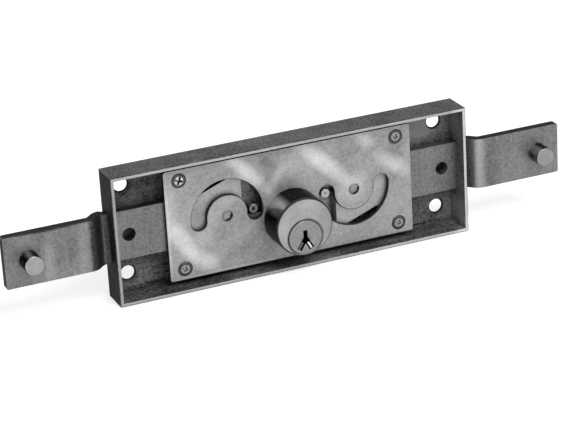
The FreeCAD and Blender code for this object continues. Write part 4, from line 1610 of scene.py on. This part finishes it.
    def plug(self) -> Solid:
        """Models the plug with its keyway, wards, chambers, clip groove and tang.

        Returns:
            The plug.
        """
        front, z = AT.barrel_front, AT.plug_z
        neck, (groove_front, groove_back) = front + self.head_depth, self.groove
        profile = [(0.0, front)] + rounded(self.head_r, self.head_edge, front, 3)
        profile += [(self.head_r, neck), (self.plug_r, neck), (self.plug_r, groove_front)]
        profile += [(self.groove_r, groove_front), (self.groove_r, groove_back), (self.plug_r, groove_back)]
        profile += [(self.plug_r, self.plug_back), (0.0, self.plug_back)]
        plug = Solid.lathe(profile, 0.0, z, 128)
        tang, flat = Solid.rod(0.0, z, self.tang_r, *self.tang, steps=48), self.tang_half
        tang.shape(Op.KEEP, Solid.box((-flat, -6.0, z - 4), (flat, 1.0, z + 4)))
        plug.shape(Op.ADD, tang).shape(Op.CUT, self.key_opening())
        plug.shape(Op.CUT, *(Solid.upright(y, self.chamber_r, z + 1.2, z + 8.0) for y in self.chambers))
        start, end = self.ward_run
        for depth, degrees in zip(self.wards, self.leg_turns):
            plug.shape(Op.ADD, self.leg(self.ward_width, end, start, front + depth, degrees))
        # The keyway's walls are painted near black, and the head's rounding and the deeper ward a dark ring,
        # all painted shade; the shallower ward is light, a painted highlight.
        plug.paint(1, lambda normal, centre: abs(normal.y) < 0.5 and centre.y < -7.0
                   and off_axis(centre, 0.0, z) < self.plug_r - 0.2)
        plug.paint(3, lambda normal, centre: normal.y > -0.95 and centre.y < -21.0
                   and off_axis(centre, 0.0, z) > self.head_r - self.head_edge - 0.01)
        for index, depth in zip((3, 2), self.wards):
            plug.paint(index, lambda normal, centre: normal.y < -0.9 and abs(centre.y - front - depth) < 0.05)
        return plug

    def spring(self, y: float) -> Solid:
        """Models a coil spring about an upright axis.

        Args:
            y: The axis's depth.

        Returns:
            The spring.
        """
        steps = self.coil_steps * self.coils
        spring = Solid()
        turn = Matrix.Rotation(math.radians(90.0), 4, "X")
        bmesh.ops.create_circle(spring.bm, cap_ends=True, segments=8, radius=self.wire_r,
                                matrix=Matrix.Translation((self.coil_r, y, self.spring_low)) @ turn)
        climb = (self.spring_high - self.spring_low) / steps
        bmesh.ops.spin(spring.bm, geom=spring.bm.verts[:] + spring.bm.edges[:] + spring.bm.faces[:],
                       cent=(0.0, y, 0.0), dvec=(0.0, 0.0, climb), axis=(0.0, 0.0, 1.0),
                       angle=2 * math.pi * self.coils, steps=steps)
        return spring.close()

    def build(self) -> None:
        """Models the cylinder's pieces and dresses them."""
        finishes = (Finishes.BARREL_FACE, Finishes.BARREL_SIDE, Finishes.PLUG_RING, Finishes.BARREL_RIM)
        self.shell().finish("lock_barrel", "housing", "cylinder_nickel", finishes, "cylinder_shell")
        finishes = (Finishes.PLUG_FACE, Finishes.KEYWAY, Finishes.LIP, Finishes.PLUG_RING)
        self.plug().finish("key_plug", "key_drive", "plug_nickel", finishes, "cylinder_plug")
        for number, y in enumerate(self.chambers, start=1):
            spring = self.spring(y).finish("coil_%d" % number, "housing", "spring_steel", (Finishes.SPRING,),
                                           "pin_spring_%d" % number)
            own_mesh(spring)


@dataclass
class InnerWorks:
    """The CAD nodes that keep their shapes and get the lock's finishes.

    Attributes:
        dressed: The names of the shown nodes that are dressed.
    """

    dressed: list[str] = field(default_factory=list)

    def build(self) -> None:
        """Gives each shown CAD node the finish of its material slot."""
        for part in frame["record"]["subparts"]:
            node = frame["nodes"][part["node"]]
            metal = Finishes.BY_NODE.get(part["node"], Finishes.BY_SLOT[part["material_slot"]])
            for holder in node.material_slots:
                holder.material = metal.material()
            if not node.hide_render:
                self.dressed.append(node.name)
        LOG.info("dressed CAD nodes: %s", ", ".join(sorted(self.dressed)))


@dataclass
class Studio:
    """Floor, lamps, world and camera.

    Attributes:
        floor_z: The floor's height, in millimetres.
        yaw: The camera's turn to the right of straight on, in degrees.
        pitch: Its look down.
        roll: Its roll.
        distance: Its distance, in millimetres.
        shift_x: How far it stands off the axis to the right.
        shift_z: How far it stands off the axis upwards.
        focal_px: The focal length in pixels of the photograph.
        frame_px: The photograph's width in pixels.
        floor_glow: The floor's own light, where it should look white.
        sky: The strength of the surround's soft light.
    """

    floor_z: float = -27.6
    yaw: float = 22.2318
    pitch: float = 22.1328
    roll: float = -3.3587
    distance: float = 968.470
    shift_x: float = -1.1181
    shift_z: float = -4.8052
    focal_px: float = 2400.374
    frame_px: float = 587.0
    floor_glow: float = 0.58
    sky: float = 0.32

    def camera(self) -> None:
        """Sets the camera at the photograph's viewpoint."""
        yaw, pitch, roll = (math.radians(a) for a in (self.yaw, self.pitch, self.roll))
        ahead = Vector((math.sin(yaw) * math.cos(pitch), math.cos(yaw) * math.cos(pitch), -math.sin(pitch)))
        level = Vector((math.cos(yaw), -math.sin(yaw), 0.0))
        upward = level.cross(ahead)
        right = math.cos(roll) * level + math.sin(roll) * upward
        top = math.cos(roll) * upward - math.sin(roll) * level
        aim = Vector((0.0, AT.rim, 0.0))
        place = aim + right * self.shift_x + top * self.shift_z - ahead * self.distance
        lens = bpy.data.cameras.new("camera")
        lens.sensor_width = 36.0
        lens.lens = self.focal_px / self.frame_px * lens.sensor_width
        lens.clip_start, lens.clip_end = 0.01, 100.0
        camera = in_scene("camera", lens)
        axes = Matrix((right, top, -ahead)).transposed()
        camera.matrix_world = Matrix.Translation(place * MM) @ axes.to_4x4()
        bpy.context.scene.camera = camera

    @staticmethod
    def seen_background(graph: Graph) -> Socket:
        """One for rays that should meet the plain white background, and zero for the rest.

        Args:
            graph: The nodes of the floor or the world.

        Returns:
            The number's socket.
        """
        rays = graph.add("ShaderNodeLightPath").outputs
        clear = graph.sum("MAXIMUM", rays["Is Camera Ray"], rays["Is Glossy Ray"])
        return graph.sum("MAXIMUM", clear, rays["Is Transmission Ray"])

    def floor(self) -> None:
        """Lays a plain pale floor that keeps the object's shadow."""
        bm = bmesh.new()
        place = Matrix.Translation((0.0, 0.0, self.floor_z * MM))
        bmesh.ops.create_grid(bm, x_segments=1, y_segments=1, size=12.0, matrix=place)
        floor = Solid(bm).as_object("studio_floor")
        paper = bpy.data.materials.new("floor_paper")
        graph = Graph(paper, "ShaderNodeOutputMaterial")
        glow = graph.sum("MULTIPLY", self.seen_background(graph), self.floor_glow)
        shader = graph.shader("ShaderNodeBsdfPrincipled", Base_Color=(0.80, 0.80, 0.80, 1.0), Roughness=0.9,
                              Specular_IOR_Level=0.0, Emission_Color=WHITE, Emission_Strength=glow)
        graph.join(shader.outputs["BSDF"], graph.surface)
        floor.data.materials.append(paper)

    def world(self) -> None:
        """Makes a soft, even surround that is white where it is seen."""
        world = bpy.data.worlds.new("studio_world")
        graph = Graph(world, "ShaderNodeOutputWorld")
        mix = graph.add("ShaderNodeMixShader")
        graph.join(self.seen_background(graph), mix.inputs["Fac"])
        for index, strength in ((1, self.sky), (2, 1.0)):
            light = graph.shader("ShaderNodeBackground", Color=WHITE, Strength=strength)
            graph.join(light.outputs[0], mix.inputs[index])
        graph.join(mix.outputs[0], graph.surface)
        bpy.context.scene.world = world

    @staticmethod
    def lamp(name: str, place: Point, size: tuple[float, float], watts: float) -> None:
        """Hangs a soft lamp that faces the lock.

        Args:
            name: The lamp's name.
            place: Its place, in metres.
            size: Its width and height, in metres.
            watts: Its power.
        """
        light = bpy.data.lights.new(name, "AREA")
        light.shape, light.size, light.size_y, light.energy = "RECTANGLE", size[0], size[1], watts
        facing = (-Vector(place)).to_track_quat("-Z", "Y").to_matrix().to_4x4()
        in_scene(name, light).matrix_world = Matrix.Translation(place) @ facing
        LOG.info("%s: %g W", name, watts)

    def build(self) -> None:
        """Sets up the whole studio."""
        self.camera()
        self.floor()
        self.world()
        self.lamp("key_lamp", (0.25, -0.90, 1.10), (0.8, 0.8), 12.0)
        self.lamp("edge_lamp", (-0.42, 0.95, 0.42), (0.30, 0.20), 3.0)
        bpy.context.scene.view_settings.view_transform = "Standard"
        LOG.info("studio: camera, floor, world and lamps")


def main() -> None:
    """Builds every sub-assembly in order, then the studio."""
    logging.basicConfig(level=logging.INFO, format="%(name)s: %(message)s")
    for assembly in (CaseTray, CoverPlate, BoltBars, CrankDrive, KeyCylinder, InnerWorks, Studio):
        assembly().build()


if __name__ == "__main__":
    main()
